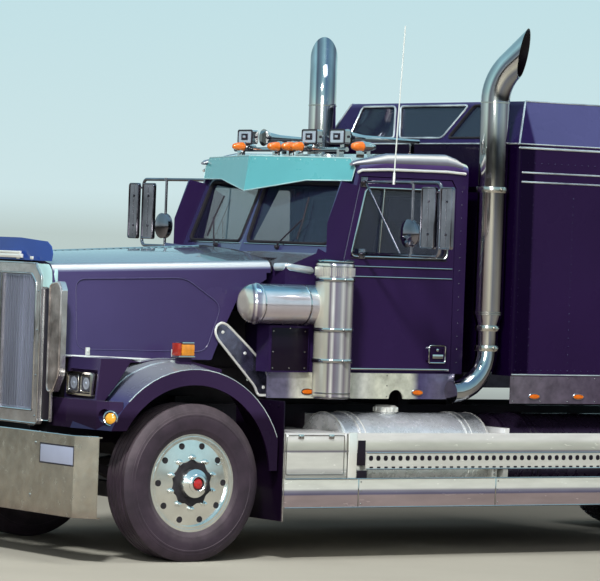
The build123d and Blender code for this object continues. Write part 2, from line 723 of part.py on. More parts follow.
def save_grille():
    shell = front_prism([
        (-SHELL_HALF, VALANCE_BOTTOM), (-SHELL_HALF, SHELL_TOP - 90), (-SHELL_HALF + 90, SHELL_TOP),
        (SHELL_HALF - 90, SHELL_TOP), (SHELL_HALF, SHELL_TOP - 90), (SHELL_HALF, VALANCE_BOTTOM),
    ], GRILLE_X - 12, HOOD_FRONT - SEAT)
    window = front_prism([
        (-GRILLE_HALF, GRILLE_BOTTOM), (-GRILLE_HALF, GRILLE_TOP - 60), (-GRILLE_HALF + 60, GRILLE_TOP),
        (GRILLE_HALF - 60, GRILLE_TOP), (GRILLE_HALF, GRILLE_TOP - 60), (GRILLE_HALF, GRILLE_BOTTOM),
    ], GRILLE_X - 30, HOOD_FRONT + 30)
    shell = fillet(shell.edges().filter_by(Axis.X), SHELL_ROUND)
    shell -= window
    shell += block(GRILLE_X - 12, HOOD_FRONT - SEAT, -8, 8, GRILLE_BOTTOM - 5, GRILLE_TOP + 5)
    for side in (-1, 1):
        # Upright intake beside the grille.
        ys = sorted((side * (SHELL_HALF - 5), side * WING_IN_Y))
        shell += block(HOOD_FRONT - 12, HOOD_FRONT - SEAT, *ys, 900, 1790)
        wing = [(side * y, z) for y, z in WING_OUTLINE]
        wing = front_prism(wing, HOOD_FRONT - 40, HOOD_FRONT - SEAT)
        shell += fillet(wing.edges().filter_by(Axis.X), WING_ROUND)
        # Hinge lug.
        inner = HINGE_EAR_Y + HINGE_EAR_T / 2 + 5
        ys = sorted((side * inner, side * (inner + HINGE_LUG_T)))
        shell += block(HOOD_FRONT - 2, HINGE_X + 26, *ys, HINGE_Z - 8, GRILLE_BOTTOM - 2)
        shell += y_cylinder(26, HINGE_X, HINGE_Z, *ys)
        shell -= y_cylinder(HINGE_PIN_R + RUN_GAP, HINGE_X, HINGE_Z, side * 280, side * 400)
    save("grille_shell", shell)
    bars = []
    count = 28
    pitch = (GRILLE_HALF - 8) / (count / 2)
    grid = block(GRILLE_X + 6, GRILLE_X + 12, -GRILLE_HALF + SEAT, -8 - SEAT, GRILLE_BOTTOM + SEAT, GRILLE_BOTTOM + 14)
    grid += block(GRILLE_X + 6, GRILLE_X + 12, -GRILLE_HALF + 60, -8 - SEAT, GRILLE_TOP - 14, GRILLE_TOP - SEAT)
    for k in range(1, count // 2):
        y = -8 - k * pitch
        grid += block(GRILLE_X + 2, GRILLE_X + 16, y - 4, y + 4, GRILLE_BOTTOM + 5, GRILLE_TOP - (5 if y > -GRILLE_HALF + 60 else 62))
    save("grille_bars", *both_sides(grid))


def save_lamps():
    lamp = Pos(LAMP_X + LAMP_T / 2, -LAMP_Y, LAMP_Z) * Box(LAMP_T, LAMP_W, LAMP_H)
    lamp = fillet(lamp.edges().filter_by(Axis.X), LAMP_ROUND)
    for y in (-LAMP_Y - LAMP_W / 4, -LAMP_Y + LAMP_W / 4):
        pocket = Pos(LAMP_X, y, LAMP_Z) * Box(2 * LAMP_POCKET, LAMP_W / 2 - 22, LAMP_H - 34)
        lamp -= fillet(pocket.edges().filter_by(Axis.X), LAMP_ROUND - 8)
    save("headlamps", *both_sides(lamp))
    turn = block(-75, 75, -TURN_Y - 45, -TURN_Y + 45, TURN_Z + SEAT, TURN_Z + 115)
    round_lamp = x_cylinder(ROUND_LAMP_R, -ROUND_LAMP_Y, ROUND_LAMP_Z, -700, -650)
    save("marker_lamps", *both_sides(turn), *both_sides(round_lamp))
    half = [(y, z) for y, z in DEFLECTOR_HALF]
    outline = [(-y, z) for y, z in half] + [(y, z) for y, z in reversed(half)]
    curve_x = DEFLECTOR_X + DEFLECTOR_BEND
    bent = z_cylinder(DEFLECTOR_BEND, curve_x, 0, 1900, 2200)
    bent -= z_cylinder(DEFLECTOR_BEND - DEFLECTOR_T, curve_x, 0, 1900, 2200)
    shield = front_prism(outline, DEFLECTOR_X - 10, DEFLECTOR_X + 150) & bent
    for y in (-250, 250):
        shield += block(DEFLECTOR_X + 2, HOOD_FRONT - SEAT, y - 15, y + 15, 1980, 1992)
    save("bug_deflector", shield)


def glass_plane(side):
    # Plane of one windscreen pane: origin at the foot of the centre post, x along the foot, y up the pane.
    foot = Vector(GLASS_CENTRE_X, 0, GLASS_BASE_Z)
    along = Vector(GLASS_SIDE_X - GLASS_CENTRE_X, side * GLASS_SIDE_Y, 0).normalized()
    up = Vector(GLASS_RAKE, 0, 1).normalized()
    normal = along.cross(up).normalized()
    if normal.X > 0:
        normal = normal * -1
    return Plane(origin=foot, x_dir=along, z_dir=normal)


def pane(side, margin, depth, thick):
    # Slab parallel to the pane: margin inside its outline, starting depth behind the plane.
    plane = glass_plane(side)
    width = sqrt((GLASS_SIDE_X - GLASS_CENTRE_X) ** 2 + GLASS_SIDE_Y ** 2)
    height = (GLASS_TOP_Z - GLASS_BASE_Z) * sqrt(1 + GLASS_RAKE ** 2)
    flip = 1 if plane.y_dir.Z > 0 else -1
    w = width - 2 * margin
    h = height - 2 * margin
    box = Pos(width / 2, flip * height / 2, -depth - thick / 2) * Box(w, h, thick)
    return plane * box


def grown(points, gap):
    # Outline moved outwards by about gap on each side of its middle.
    xs = [x for x, z in points]
    zs = [z for x, z in points]
    cx = (min(xs) + max(xs)) / 2
    cz = (min(zs) + max(zs)) / 2
    return [(x + (gap if x > cx else -gap), z + (gap if z > cz else -gap)) for x, z in points]


def save_cab():
    cab = side_prism(CAB_PROFILE, -CAB_Y, CAB_Y)
    roof_sides = [e for e in cab.edges() if abs(abs(e.center().Y) - CAB_Y) < 1 and e.center().Z > GLASS_TOP_Z + 100]
    cab = fillet([e for e in roof_sides if e.length > 150], ROOF_ROUND)
    for side in (-1, 1):
        plane_block = pane(side, -40, -600, 600)
        cab -= plane_block
    cavity = side_prism(CAB_INNER, -CAB_Y + CAB_WALL, CAB_Y - CAB_WALL)
    for side in (-1, 1):
        cavity -= pane(side, -60, -600, 640)
    cab -= cavity
    for side in (-1, 1):
        cab -= visor_room(side)
        cab -= pane(side, 45, -30, 200)
        cab -= side_prism(grown(DOOR_OUTLINE, DOOR_GAP), side * (CAB_Y - CAB_WALL - 30), side * (CAB_Y + 30))
    # Passage to the sleeper.
    cab -= block(CAB_REAR - 100, CAB_REAR + 10, -PASSAGE_HALF, PASSAGE_HALF, CAB_BOTTOM + 100, PASSAGE_TOP)
    # Cowl cheeks and the boxes outside them, scooped out round the air intakes.
    for side in (-1, 1):
        ys = sorted((side * 890, side * CAB_Y))
        cab += block(CAB_FRONT, FIREWALL_X + 10, *ys, CAB_BOTTOM, COWL_TOP - 10)
        ys = sorted((side * 850, side * 1000))
        cab += block(682, 1010, *ys, CAB_BOTTOM, INTAKE_Z - INTAKE_R - 8)
        cab -= x_cylinder(INTAKE_R + 4, side * INTAKE_Y, INTAKE_Z, 600, CLEANER_X)
        for z in DOOR_HINGES:
            cab += hinge_half(side, z, z + 24, DOOR_PIN_X - 45, DOOR_PIN_X)
            cab += hinge_half(side, z + 76, z + 100, DOOR_PIN_X - 45, DOOR_PIN_X)
            cab += z_cylinder(DOOR_PIN_R, DOOR_PIN_X, side * DOOR_PIN_Y, z, z + 100)
    save("cab_shell", cab)

    glass = [pane(side, 45 + SEAT, 12, GLASS_T) for side in (-1, 1)]
    windows = []
    for g in glass:
        windows += solids_of(g)
    for tilt_pane in sleeper_panes(SEAT, 6, 12):
        windows += solids_of(tilt_pane)
    save("windows", *windows)

    # Visor with three brackets back to the slope above the windscreen.
    visor = visor_half(-1) + visor_half(1)
    (x0, z0), (x1, z1) = VISOR_SLOPE
    for y in (-600, 0, 600):
        low = VISOR_Z + 188
        front = VISOR_X + VISOR_RAKE * 190 + abs(y) * VISOR_SWEEP + 2
        rear = x0 + (low - z0) * (x1 - x0) / (z1 - z0) - 2 * SEAT
        bracket = [(front, low), (rear, low), (rear + 12 * (x1 - x0) / (z1 - z0), low + 12), (front, low + 12)]
        visor += side_prism(bracket, y - 12, y + 12)
    save("sun_visor", visor)


def visor_plane(side):
    # Plane of one half of the visor, facing forward, with x outward along it; and which way y points up.
    along = Vector(VISOR_SWEEP, side, 0).normalized()
    up = Vector(VISOR_RAKE, 0, 1).normalized()
    normal = along.cross(up).normalized()
    normal = normal if normal.X < 0 else normal * -1
    plane = Plane(origin=(VISOR_X, 0, VISOR_Z), x_dir=along, z_dir=normal)
    return plane, 1 if plane.y_dir.Z > 0 else -1


def visor_half(side):
    plane, flip = visor_plane(side)
    face = make_face(Polyline(*[(u, flip * v) for u, v in VISOR_OUTLINE], close=True))
    return plane * extrude(face, amount=-VISOR_T)


def visor_room(side):
    # Space in front of and just behind the visor, kept free of the roof's corner.
    plane, flip = visor_plane(side)
    width, height, depth = 1300, 400, 400
    return plane * (Pos(width / 2, flip * (60 + height / 2), depth / 2 - VISOR_T - 10) * Box(width, height, depth))


def roof_z(x):
    # Height of the cab's roof at x.
    for (x0, z0), (x1, z1) in zip(CAB_PROFILE, CAB_PROFILE[1:]):
        if z0 > GLASS_TOP_Z and x0 <= x <= x1:
            return z0 + (z1 - z0) * (x - x0) / (x1 - x0)


def save_roof():
    # Lamp bar on three posts, with work lamps on it.
    bar = y_cylinder(ROOF_BAR_R, ROOF_BAR_X, ROOF_BAR_Z, -700, 700)
    for y in (-620, 0, 620):
        post = [(ROOF_BAR_X - 20, roof_z(ROOF_BAR_X - 20) + SEAT), (ROOF_BAR_X - 20, ROOF_BAR_Z),
                (ROOF_BAR_X + 20, ROOF_BAR_Z), (ROOF_BAR_X + 20, roof_z(ROOF_BAR_X + 20) + SEAT)]
        bar += side_prism(post, y - 15, y + 15)
    for y in WORK_LAMPS:
        lamp = block(ROOF_BAR_X - 45, ROOF_BAR_X + 25, y - 90, y + 90, ROOF_BAR_Z + 38, ROOF_BAR_Z + 138)
        lamp = chamfer(lamp.faces().sort_by(Axis.X)[-1].edges(), 22)
        bar += fillet(lamp.edges().filter_by(Axis.X), 12)
        bar += block(ROOF_BAR_X - 10, ROOF_BAR_X + 10, y - 10, y + 10, ROOF_BAR_Z, ROOF_BAR_Z + 40)
    save("roof_lamps", bar)
    # Amber markers stand on small feet behind the bar's front face.
    markers = []
    for y in ROOF_MARKERS:
        foot = roof_z(ROOF_BAR_X - 30) + SEAT
        marker = block(ROOF_BAR_X - 75, ROOF_BAR_X - 30, y - 50, y + 50, foot + 30, foot + 95)
        marker = fillet(marker.edges().filter_by(Axis.X), 28)
        marker += side_prism([(ROOF_BAR_X - 70, roof_z(ROOF_BAR_X - 70) + SEAT), (ROOF_BAR_X - 70, foot + 35),
                              (ROOF_BAR_X - 35, foot + 35), (ROOF_BAR_X - 35, roof_z(ROOF_BAR_X - 35) + SEAT)],
                             y - 20, y + 20)
        markers.append(marker)
    save("roof_markers", *markers)
    # Air horns: a trumpet along the roof with its bell to the front, on two feet.
    horns = []
    for y, front, rear in HORNS:
        bell = [(0, 0), (0, 62), (40, 40), (140, 24), (rear - front, 14), (rear - front, 0)]
        face = make_face(Polyline(*[(dx, r, 0) for dx, r in bell], close=True))
        z = HORN_Z
        horn = Pos(front, y, z) * revolve(face, Axis((0, 0, 0), (1, 0, 0)), 360)
        for x in (front + 180, rear - 60):
            foot = [(x - 15, roof_z(x - 15) + SEAT), (x - 15, z), (x + 15, z), (x + 15, roof_z(x + 15) + SEAT)]
            horn += side_prism(foot, y - 10, y + 10)
        horns.append(horn)
    save("air_horns", *horns)


def save_interior():
    seats = []
    for side in (-1, 1):
        y = side * 480
        seat = block(1600, 2120, y - 250, y + 250, CAB_BOTTOM + CAB_WALL + SEAT, 1640)
        cushion = block(1600, 2120, y - 260, y + 260, 1640, 1780)
        seat += fillet(cushion.edges().group_by(Axis.Z)[-1], 45)
        back = side_prism([(2000, 1770), (2120, 1770), (2204, 2310), (2104, 2310)], y - 250, y + 250)
        seat += fillet(back.edges().group_by(Axis.Z)[-1], 35)
        head = block(2106, 2206, y - 150, y + 150, 2300, 2485)
        seat += fillet(head.edges(), 30)
        seats.append(seat)
    save("seats", *seats)
    front = FIREWALL_X + CAB_WALL + SEAT
    dash = side_prism([(front, 1500), (front, 1960), (1290, 2022), (1400, 1960), (1340, 1700), (1250, 1500)],
                      -CAB_Y + CAB_WALL + SEAT, CAB_Y - CAB_WALL - SEAT)
    column = Pos(1430, -480, 1880) * Rot(0, -50, 0) * Cylinder(30, 260)
    wheel = Pos(1430, -480, 1880) * Rot(0, -50, 0) * Pos(0, 0, 120) * Torus(220, 15)
    spokes = Pos(1430, -480, 1880) * Rot(0, -50, 0) * Pos(0, 0, 120) * Box(440, 40, 14)
    save("dashboard", dash + column + wheel + spokes)


def sleeper_panes(shrink, start, thick):
    rise = SLEEPER_TOP - SLEEPER_KNEE
    length = sqrt(rise ** 2 + SLEEPER_SLOPE ** 2)
    plane = Plane(origin=(SLEEPER_FRONT, 0, SLEEPER_KNEE), x_dir=(0, 1, 0), z_dir=(-rise, 0, SLEEPER_SLOPE))
    flip = 1 if plane.y_dir.Z > 0 else -1
    panes = []
    for outline in SLEEPER_PANES:
        face = make_face(Polyline(*[(y, flip * share * length) for y, share in outline], close=True))
        if shrink:
            face = offset(face, -shrink)
        panes.append(plane * (Pos(0, 0, -start - thick) * extrude(face, amount=thick)))
    return panes


def sleeper_body(inset):
    points = [(y - inset * (1 if y > 0 else -1), z + (inset if z < 2000 else -inset)) for y, z in SLEEPER_SECTION]
    body = front_prism(points, SLEEPER_FRONT + inset, SLEEPER_REAR - inset)
    body = fillet(body.edges().filter_by(Axis.Z), SLEEPER_ROUND - inset / 2)
    slope = [
        (SLEEPER_FRONT - 50, SLEEPER_KNEE), (SLEEPER_FRONT + inset, SLEEPER_KNEE),
        (SLEEPER_FRONT + inset + 2 * SLEEPER_SLOPE, SLEEPER_KNEE + 2 * (SLEEPER_TOP - SLEEPER_KNEE)),
        (SLEEPER_FRONT - 50, SLEEPER_TOP + 500),
    ]
    return body - side_prism(slope, -2000, 2000)


def save_sleeper():
    shell = sleeper_body(0) - sleeper_body(SLEEPER_WALL)
    for cut in sleeper_panes(0, -20, 120):
        shell -= cut
    shell -= block(SLEEPER_FRONT - 10, SLEEPER_FRONT + 60, -PASSAGE_HALF, PASSAGE_HALF, CAB_BOTTOM + 100, PASSAGE_TOP)
    save("sleeper_shell", shell)
    half = PASSAGE_HALF + BOOT_T
    ring = block(CAB_REAR + SEAT, SLEEPER_FRONT - SEAT, -half, half, CAB_BOTTOM + 100 - BOOT_T, PASSAGE_TOP + BOOT_T)
    ring -= block(CAB_REAR - 5, SLEEPER_FRONT + 5, -PASSAGE_HALF, PASSAGE_HALF, CAB_BOTTOM + 100, PASSAGE_TOP)
    # Three folds round the boot.
    for x in FOLDS:
        fold = block(x, x + FOLD_W, -half - 5, half + 5, CAB_BOTTOM + 100 - BOOT_T - 5, PASSAGE_TOP + BOOT_T + 5)
        fold -= block(x - 5, x + FOLD_W + 5, -half + FOLD_D, half - FOLD_D, CAB_BOTTOM + 100 - BOOT_T + FOLD_D,
                      PASSAGE_TOP + BOOT_T - FOLD_D)
        ring -= fold
    save("sleeper_boot", ring)


def save_skirts():
    cab_skirt = block(700, 2280, -CAB_Y + 2, -CAB_Y + 12, SKIRT_BOTTOM, CAB_BOTTOM - SEAT)
    cab_skirt -= y_cylinder(CAP_R + 14, CAP_X, SKIRT_BOTTOM, -CAB_Y - 10, -CAB_Y + 30)
    sleeper_skirt = block(SLEEPER_FRONT, SLEEPER_REAR, -SLEEPER_Y, -SLEEPER_Y + 10, 1070, CAB_BOTTOM - SEAT)
    save("skirts", *both_sides(cab_skirt), *both_sides(sleeper_skirt))


def save_air_cleaners():
    y = -CLEANER_Y
    body = z_cylinder(CLEANER_R, CLEANER_X, y, CLEANER_BOTTOM, CLEANER_TOP)
    body = fillet(body.edges().filter_by(GeomType.CIRCLE), CLEANER_ROLL)
    for z in (1350, 1560, 1900):
        body += z_cylinder(CLEANER_R + CLEANER_BAND, CLEANER_X, y, z - 12, z + 12)
    # Forward intake with a rounded nose.
    body += x_cylinder(INTAKE_R, -INTAKE_Y, INTAKE_Z, INTAKE_FRONT + 90, CLEANER_X)
    # Its nose is a flat face that rolls back into the tube.
    flat, roll = 0.3 * INTAKE_R, 92
    curve = ThreePointArc((0, flat, 0), (0.26 * roll, 0.76 * INTAKE_R, 0), (roll, INTAKE_R, 0))
    rest = Polyline((roll, INTAKE_R, 0), (roll, 0, 0), (0, 0, 0), (0, flat, 0))
    face = make_face([curve, rest])
    body += Pos(INTAKE_FRONT, -INTAKE_Y, INTAKE_Z) * revolve(face, Axis((0, 0, 0), (1, 0, 0)), 360)
    body -= block(CLEANER_X - 200, CLEANER_X + 200, -CAB_Y - SEAT, 0, 1200, 2000)
    body += block(CLEANER_X - 40, CLEANER_X + 40, y + 60, -CAB_Y - SEAT, 1400, 1460)
    save("air_cleaners", *both_sides(body))


def save_stacks():
    y = -STACK_Y
    tube_r = 76
    stack = z_cylinder(STACK_R, STACK_X, y, 1690, STACK_BEND_Z)
    stack += Pos(STACK_X, y, 1645) * Cone(tube_r, STACK_R, 90)
    stack += z_cylinder(tube_r, STACK_X, y, 1430, 1600)
    # Curved top, turned back by 45 degrees and cut nearly upright.
    turn = STACK_TURN_R * (1 - cos(radians(45)))
    rise = STACK_TURN_R * sin(radians(45))
    mid = (STACK_X + STACK_TURN_R * (1 - cos(radians(22.5))), y, STACK_BEND_Z + STACK_TURN_R * sin(radians(22.5)))
    arc = ThreePointArc((STACK_X, y, STACK_BEND_Z), mid, (STACK_X + turn, y, STACK_BEND_Z + rise))
    tail = Line(arc @ 1, (STACK_X + turn + 260, y, STACK_BEND_Z + rise + 260))
    stack += sweep(Plane(arc @ 0, z_dir=arc % 0) * Circle(STACK_R), arc)
    stack += sweep(Plane(tail @ 0, z_dir=tail % 0) * Circle(STACK_R), tail)
    (x0, z0), (x1, z1) = STACK_CUT
    lean = (x1 - x0) / (z1 - z0)
    past = [(x0 - 200 * lean, z0 - 200), (x0 + 700 * lean, z0 + 700), (x0 + 700, z0 + 700), (x0 + 700, z0 - 200)]
    stack -= side_prism(past, y - 300, y + 300)
    # Elbow forward under the cab.
    path = ThreePointArc((STACK_X, y, 1430), (STACK_X - 90, y, 1225), (STACK_X - 300, y, 1140))
    stack += sweep(Plane(path @ 0, z_dir=path % 0) * Circle(tube_r), path)
    for z in (1450, 1590, 2560):
        stack += z_cylinder((STACK_R if z > 2000 else tube_r) + 7, STACK_X, y, z - 20, z + 20)
    stack += block(STACK_X - 30, STACK_X + 30, y + 60, -600, 2540, 2580)
    stack += block(STACK_X - 30, SLEEPER_FRONT - SEAT, -640, -600, 2540, 2580)
    save("exhaust_stacks", *both_sides(stack))


def save_tanks():
    tank = x_cylinder(TANK_R, -TANK_Y, TANK_Z, TANK_FRONT, TANK_REAR)
    tank += x_cylinder(TANK_R, -TANK_Y, TANK_Z, TANK_REAR + 150, STEP_REAR - 150)
    tank = fillet(tank.edges().filter_by(GeomType.CIRCLE), TANK_ROLL)
    cap = z_cylinder(CAP_R, CAP_X, -TANK_Y, TANK_Z + TANK_R - 20, TANK_Z + TANK_R + 28)
    tank += cap
    brackets = []
    for x in (TANK_FRONT + 165, TANK_REAR - 170, TANK_REAR + 400, STEP_REAR - 390):
        tank += x_cylinder(TANK_R + STRAP_T, -TANK_Y, TANK_Z, x - 30, x + 30)
        bracket = block(x - 30, x + 30, -TANK_Y, -RAIL_Y - SEAT, TANK_Z - 40, RAIL_TOP - 60)
        brackets += both_sides(bracket - x_cylinder(TANK_R + STRAP_T + SEAT, -TANK_Y, TANK_Z, x - 40, x + 40))
    save("fuel_tanks", *both_sides(tank), *brackets)
    # Tool box ahead of the tank, two steps, the band above them and the brackets that carry them.
    inner = STEP_IN_Y
    steps = block(STEP_FRONT, 1215, -STEP_Y + 10, -RAIL_Y - SEAT, 420, 862)
    steps += block(STEP_FRONT - 12, STEP_FRONT, -STEP_Y, -RAIL_Y - SEAT, 265, 862)
    steps += block(STEP_FRONT, STEP_REAR, -STEP_Y - 10, -inner, 355, 552)
    steps += block(1370, STEP_REAR, -STEP_Y, -inner, 614, 727)
    steps += block(1200, STEP_REAR, -STEP_Y, -STEP_Y + 8, 727, 862)
    for x in (TANK_FRONT + 45, TANK_REAR - 20, (TANK_REAR + STEP_REAR) / 2, STEP_REAR - 40):
        steps += block(x - 20, x + 20, -STEP_Y + 8, -inner, 500, 700)
    for x in (TANK_REAR + 75, STEP_REAR - 20):
        steps += block(x - 20, x + 20, -STEP_Y + 4, -RAIL_Y - SEAT, 500, RAIL_TOP - 120)
    save("steps", *both_sides(steps))


def save_fifth_wheel():
    base = []
    for side in (-1, 1):
        ys = sorted((side * 300, side * 420))
        foot = block(FIFTH_X - 250, FIFTH_X + 250, *ys, RAIL_TOP + SEAT, RAIL_TOP + 30)
        ys = sorted((side * 380, side * 410))
        ear = side_prism([(FIFTH_X - 120, RAIL_TOP + 20), (FIFTH_X + 120, RAIL_TOP + 20),
                          (FIFTH_X + 45, FIFTH_PIVOT_Z + 28), (FIFTH_X - 45, FIFTH_PIVOT_Z + 28)], *ys)
        pin = y_cylinder(24, FIFTH_X, FIFTH_PIVOT_Z, side * 320, side * 400)
        base += [foot + ear + pin]
    save("fifth_wheel_base", *base)
    top = Pos(FIFTH_X, 0, FIFTH_TOP - 18) * Cylinder(470, 36)
    top += plan_prism([(FIFTH_X + 300, -350), (FIFTH_X + 620, -330), (FIFTH_X + 620, -120), (FIFTH_X + 300, -40)],
                      FIFTH_TOP - 36, FIFTH_TOP)
    top += plan_prism([(FIFTH_X + 300, 350), (FIFTH_X + 620, 330), (FIFTH_X + 620, 120), (FIFTH_X + 300, 40)],
                      FIFTH_TOP - 36, FIFTH_TOP)
    slot = plan_prism([(FIFTH_X, -KING_LOCK_R), (FIFTH_X + 250, -KING_LOCK_R), (FIFTH_X + 480, -130),
                       (FIFTH_X + 480, 130), (FIFTH_X + 250, KING_LOCK_R), (FIFTH_X, KING_LOCK_R)],
                      FIFTH_TOP - 60, FIFTH_TOP + 10)
    top -= slot
    top -= z_cylinder(KING_LOCK_R, FIFTH_X, 0, FIFTH_TOP - 60, FIFTH_TOP + 10)
    for side in (-1, 1):
        ys = sorted((side * 335, side * 365))
        top += block(FIFTH_X - 45, FIFTH_X + 45, *ys, FIFTH_PIVOT_Z - 40, FIFTH_TOP - 30)
        top -= y_cylinder(24 + RUN_GAP, FIFTH_X, FIFTH_PIVOT_Z, side * 300, side * 374)
    save("fifth_wheel_plate", top)


def save_rear():
    lamps = []
    z = (TAIL_BAR_BOTTOM + RAIL_BOTTOM) / 2
    for side in (-1, 1):
        for y in LAMP_ROW:
            lamps.append(x_cylinder(TAIL_LAMP_R, side * y, z, RAIL_REAR - 30 + SEAT, RAIL_REAR - 5))
    save("tail_lamps", *lamps)
    save("mudflaps", *both_sides(block(FLAP_X - 5, FLAP_X + 5, -1230, -620, 330, FLAP_TOP)))


def hinge_half(side, z0, z1, x0, x1):
    # One knuckle of a door hinge with its leaf on the outside of the panel.
    y = side * DOOR_PIN_Y
    leaf = block(x0, x1, *sorted((side * (CAB_Y - 1), side * (CAB_Y + 8))), z0, z1)
    return leaf + z_cylinder(DOOR_KNUCKLE_R, DOOR_PIN_X, y, z0, z1)


def save_doors():
    y_out = -CAB_Y
    y_in = -CAB_Y + CAB_WALL
    door = side_prism(DOOR_OUTLINE, y_out, y_in)
    door -= side_prism(WINDOW_OUTLINE, y_out - 10, y_in + 10)
    x0, x1, z0, z1 = HANDLE
    bezel = block(x0, x1, y_out - 30, y_out + 5, z0, z1)
    bezel = fillet(bezel.edges().filter_by(Axis.Y), HANDLE_ROUND)
    door += bezel - block(x0 + 14, x1 - 14, y_out - 40, y_out - 18, z0 + 14, z1 - 14)
    door += block(x0 + 28, x1 - 28, y_out - 26, y_out - 10, z0 + 34, z0 + 58)
    for z in DOOR_HINGES:
        door += hinge_half(-1, z + 25, z + 75, DOOR_PIN_X, DOOR_PIN_X + 50)
        door -= z_cylinder(DOOR_PIN_R + RUN_GAP, DOOR_PIN_X, -DOOR_PIN_Y, z, z + 100)
    glass = side_prism(grown(WINDOW_OUTLINE, -SEAT), y_out + 20, y_out + 26)
    save("door_left", door)
    save("door_right", mirrored(door))
    save("door_glass_left", glass)
    save("door_glass_right", mirrored(glass))
    mirrors = mirror_arm()
    save("mirror_left", mirrors)
    save("mirror_right", mirrored(mirrors))


def mirror_arm():
    # A bent tube out from the door and back, an upright and a brace inside it, two flat heads and a round one.
    y0 = -CAB_Y - SEAT
    y1 = y0 - MIRROR_REACH
    y2 = y0 - MIRROR_INNER
    arm = tube([(MIRROR_X, y0, MIRROR_TOP), (MIRROR_X, y1, MIRROR_TOP), (MIRROR_X, y1, MIRROR_LOW),
                (MIRROR_X, y0, MIRROR_LOW)], ARM_R, 45)
    arm += z_cylinder(ARM_R - 2, MIRROR_X, y2, MIRROR_LOW, MIRROR_TOP)
    foot = Vector(MIRROR_X, y0 - 25, MIRROR_TOP)
    brace = Vector(MIRROR_X, y2 + 120, MIRROR_LOW) - foot
    arm += Plane(origin=foot, z_dir=brace) * Pos(0, 0, brace.length / 2) * Cylinder(ARM_R - 4, brace.length)
    arm += y_cylinder(ARM_R - 4, MIRROR_X, MIRROR_LOW + 430, y1 - 60, y1 + 60)
    for inner, outer in MIRROR_HEADS:
        head = block(MIRROR_X - 26, MIRROR_X - 6, -outer, -inner, MIRROR_LOW + 48, MIRROR_TOP - 28)
        arm += fillet(head.edges().filter_by(Axis.X), MIRROR_ROUND)
    arm += x_cylinder(90, y2, 2232, MIRROR_X - 30, MIRROR_X)
    return arm


save_wheels()
save_front_axle()
save_frame()
save_bumper()
save_suspension()
save_drive_axles()
save_powertrain()
save_hood()
save_grille()
save_lamps()
save_cab()
save_roof()
save_interior()
save_sleeper()
save_skirts()
save_air_cleaners()
save_stacks()
save_tanks()
save_fifth_wheel()
save_rear()
save_doors()
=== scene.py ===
import math

import bmesh
import bpy
from mathutils import Matrix, Vector


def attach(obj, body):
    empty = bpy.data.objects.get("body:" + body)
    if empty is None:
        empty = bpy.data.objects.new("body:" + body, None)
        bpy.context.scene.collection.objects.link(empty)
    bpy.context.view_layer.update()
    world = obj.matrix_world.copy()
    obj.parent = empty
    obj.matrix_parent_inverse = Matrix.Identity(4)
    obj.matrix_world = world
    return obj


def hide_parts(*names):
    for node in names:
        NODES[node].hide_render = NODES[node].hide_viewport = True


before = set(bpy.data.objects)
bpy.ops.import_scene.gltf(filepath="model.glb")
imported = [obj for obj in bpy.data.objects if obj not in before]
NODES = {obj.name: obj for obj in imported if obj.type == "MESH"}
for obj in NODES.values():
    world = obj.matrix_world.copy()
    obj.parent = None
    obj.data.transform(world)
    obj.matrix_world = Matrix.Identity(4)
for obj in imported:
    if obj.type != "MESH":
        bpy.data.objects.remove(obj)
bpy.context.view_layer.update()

# The row's x = 0 is mid-length and the part's own is the front axle. SHIFT between them is in metres.
SHIFT = -3.410
WHEEL_Z = 525
SIDES = ((-1, "left"), (1, "right"))
AHEAD, BACK, UP = (-1, 0, 0), (1, 0, 0), (0, 0, 1)

scene = bpy.context.scene
scene.view_settings.view_transform = "Standard"


# ---------------------------------------------------------------- materials
def add_node(tree, kind, inputs=None, **settings):
    """New shader node with settings; each input is a value or the output that feeds it."""
    node = tree.nodes.new("ShaderNode" + kind)
    for key, value in settings.items():
        setattr(node, key, value)
    for key, value in (inputs or {}).items():
        if isinstance(value, bpy.types.NodeSocket):
            tree.links.new(value, node.inputs[key])
        else:
            node.inputs[key].default_value = value
    return node


def new_material(name):
    m = bpy.data.materials.new(name)
    m.use_nodes = True
    m.node_tree.nodes.clear()
    return m, m.node_tree


def shade(tree, inputs):
    add_node(tree, "OutputMaterial", {0: add_node(tree, "BsdfPrincipled", inputs).outputs[0]})


def noise(tree, scale, detail=4.0, stretch=None):
    coord = add_node(tree, "TexCoord").outputs["Object"]
    if stretch:
        coord = add_node(tree, "Mapping", {0: coord, "Scale": stretch}).outputs[0]
    node = add_node(tree, "TexNoise", {"Vector": coord, "Scale": scale, "Detail": detail, "Roughness": 0.55})
    return node.outputs["Fac"]


def ramp(tree, fac, stops):
    """Colour ramp; a stop is its position followed by a grey or by red, green and blue."""
    node = add_node(tree, "ValToRGB", {0: fac})
    ends = node.color_ramp.elements
    while len(ends) < len(stops):
        ends.new(0.5)
    for end, (pos, *value) in zip(ends, stops):
        end.position = pos
        end.color = (*(value * (4 - len(value)))[:3], 1)
    return node.outputs[0]


def facing(tree, stops, axis=UP):
    """Ramp over how far the surface turns to axis: 0 is away from it, 0.5 is side on and 1 is straight at it."""
    normal = add_node(tree, "NewGeometry").outputs["Normal"]
    dot = add_node(tree, "VectorMath", {0: normal, 1: axis}, operation="DOT_PRODUCT").outputs["Value"]
    return ramp(tree, add_node(tree, "MapRange", {0: dot, "From Min": -1.0}).outputs[0], stops)


def placed(tree, axis, low, high, stops):
    """Ramp over the world position along an axis between low and high, in metres."""
    place = add_node(tree, "SeparateXYZ", {0: add_node(tree, "NewGeometry").outputs["Position"]}).outputs[axis]
    share = add_node(tree, "MapRange", {0: place, "From Min": low, "From Max": high}).outputs[0]
    return ramp(tree, share, [((at - low) / (high - low), *value) for at, *value in stops])


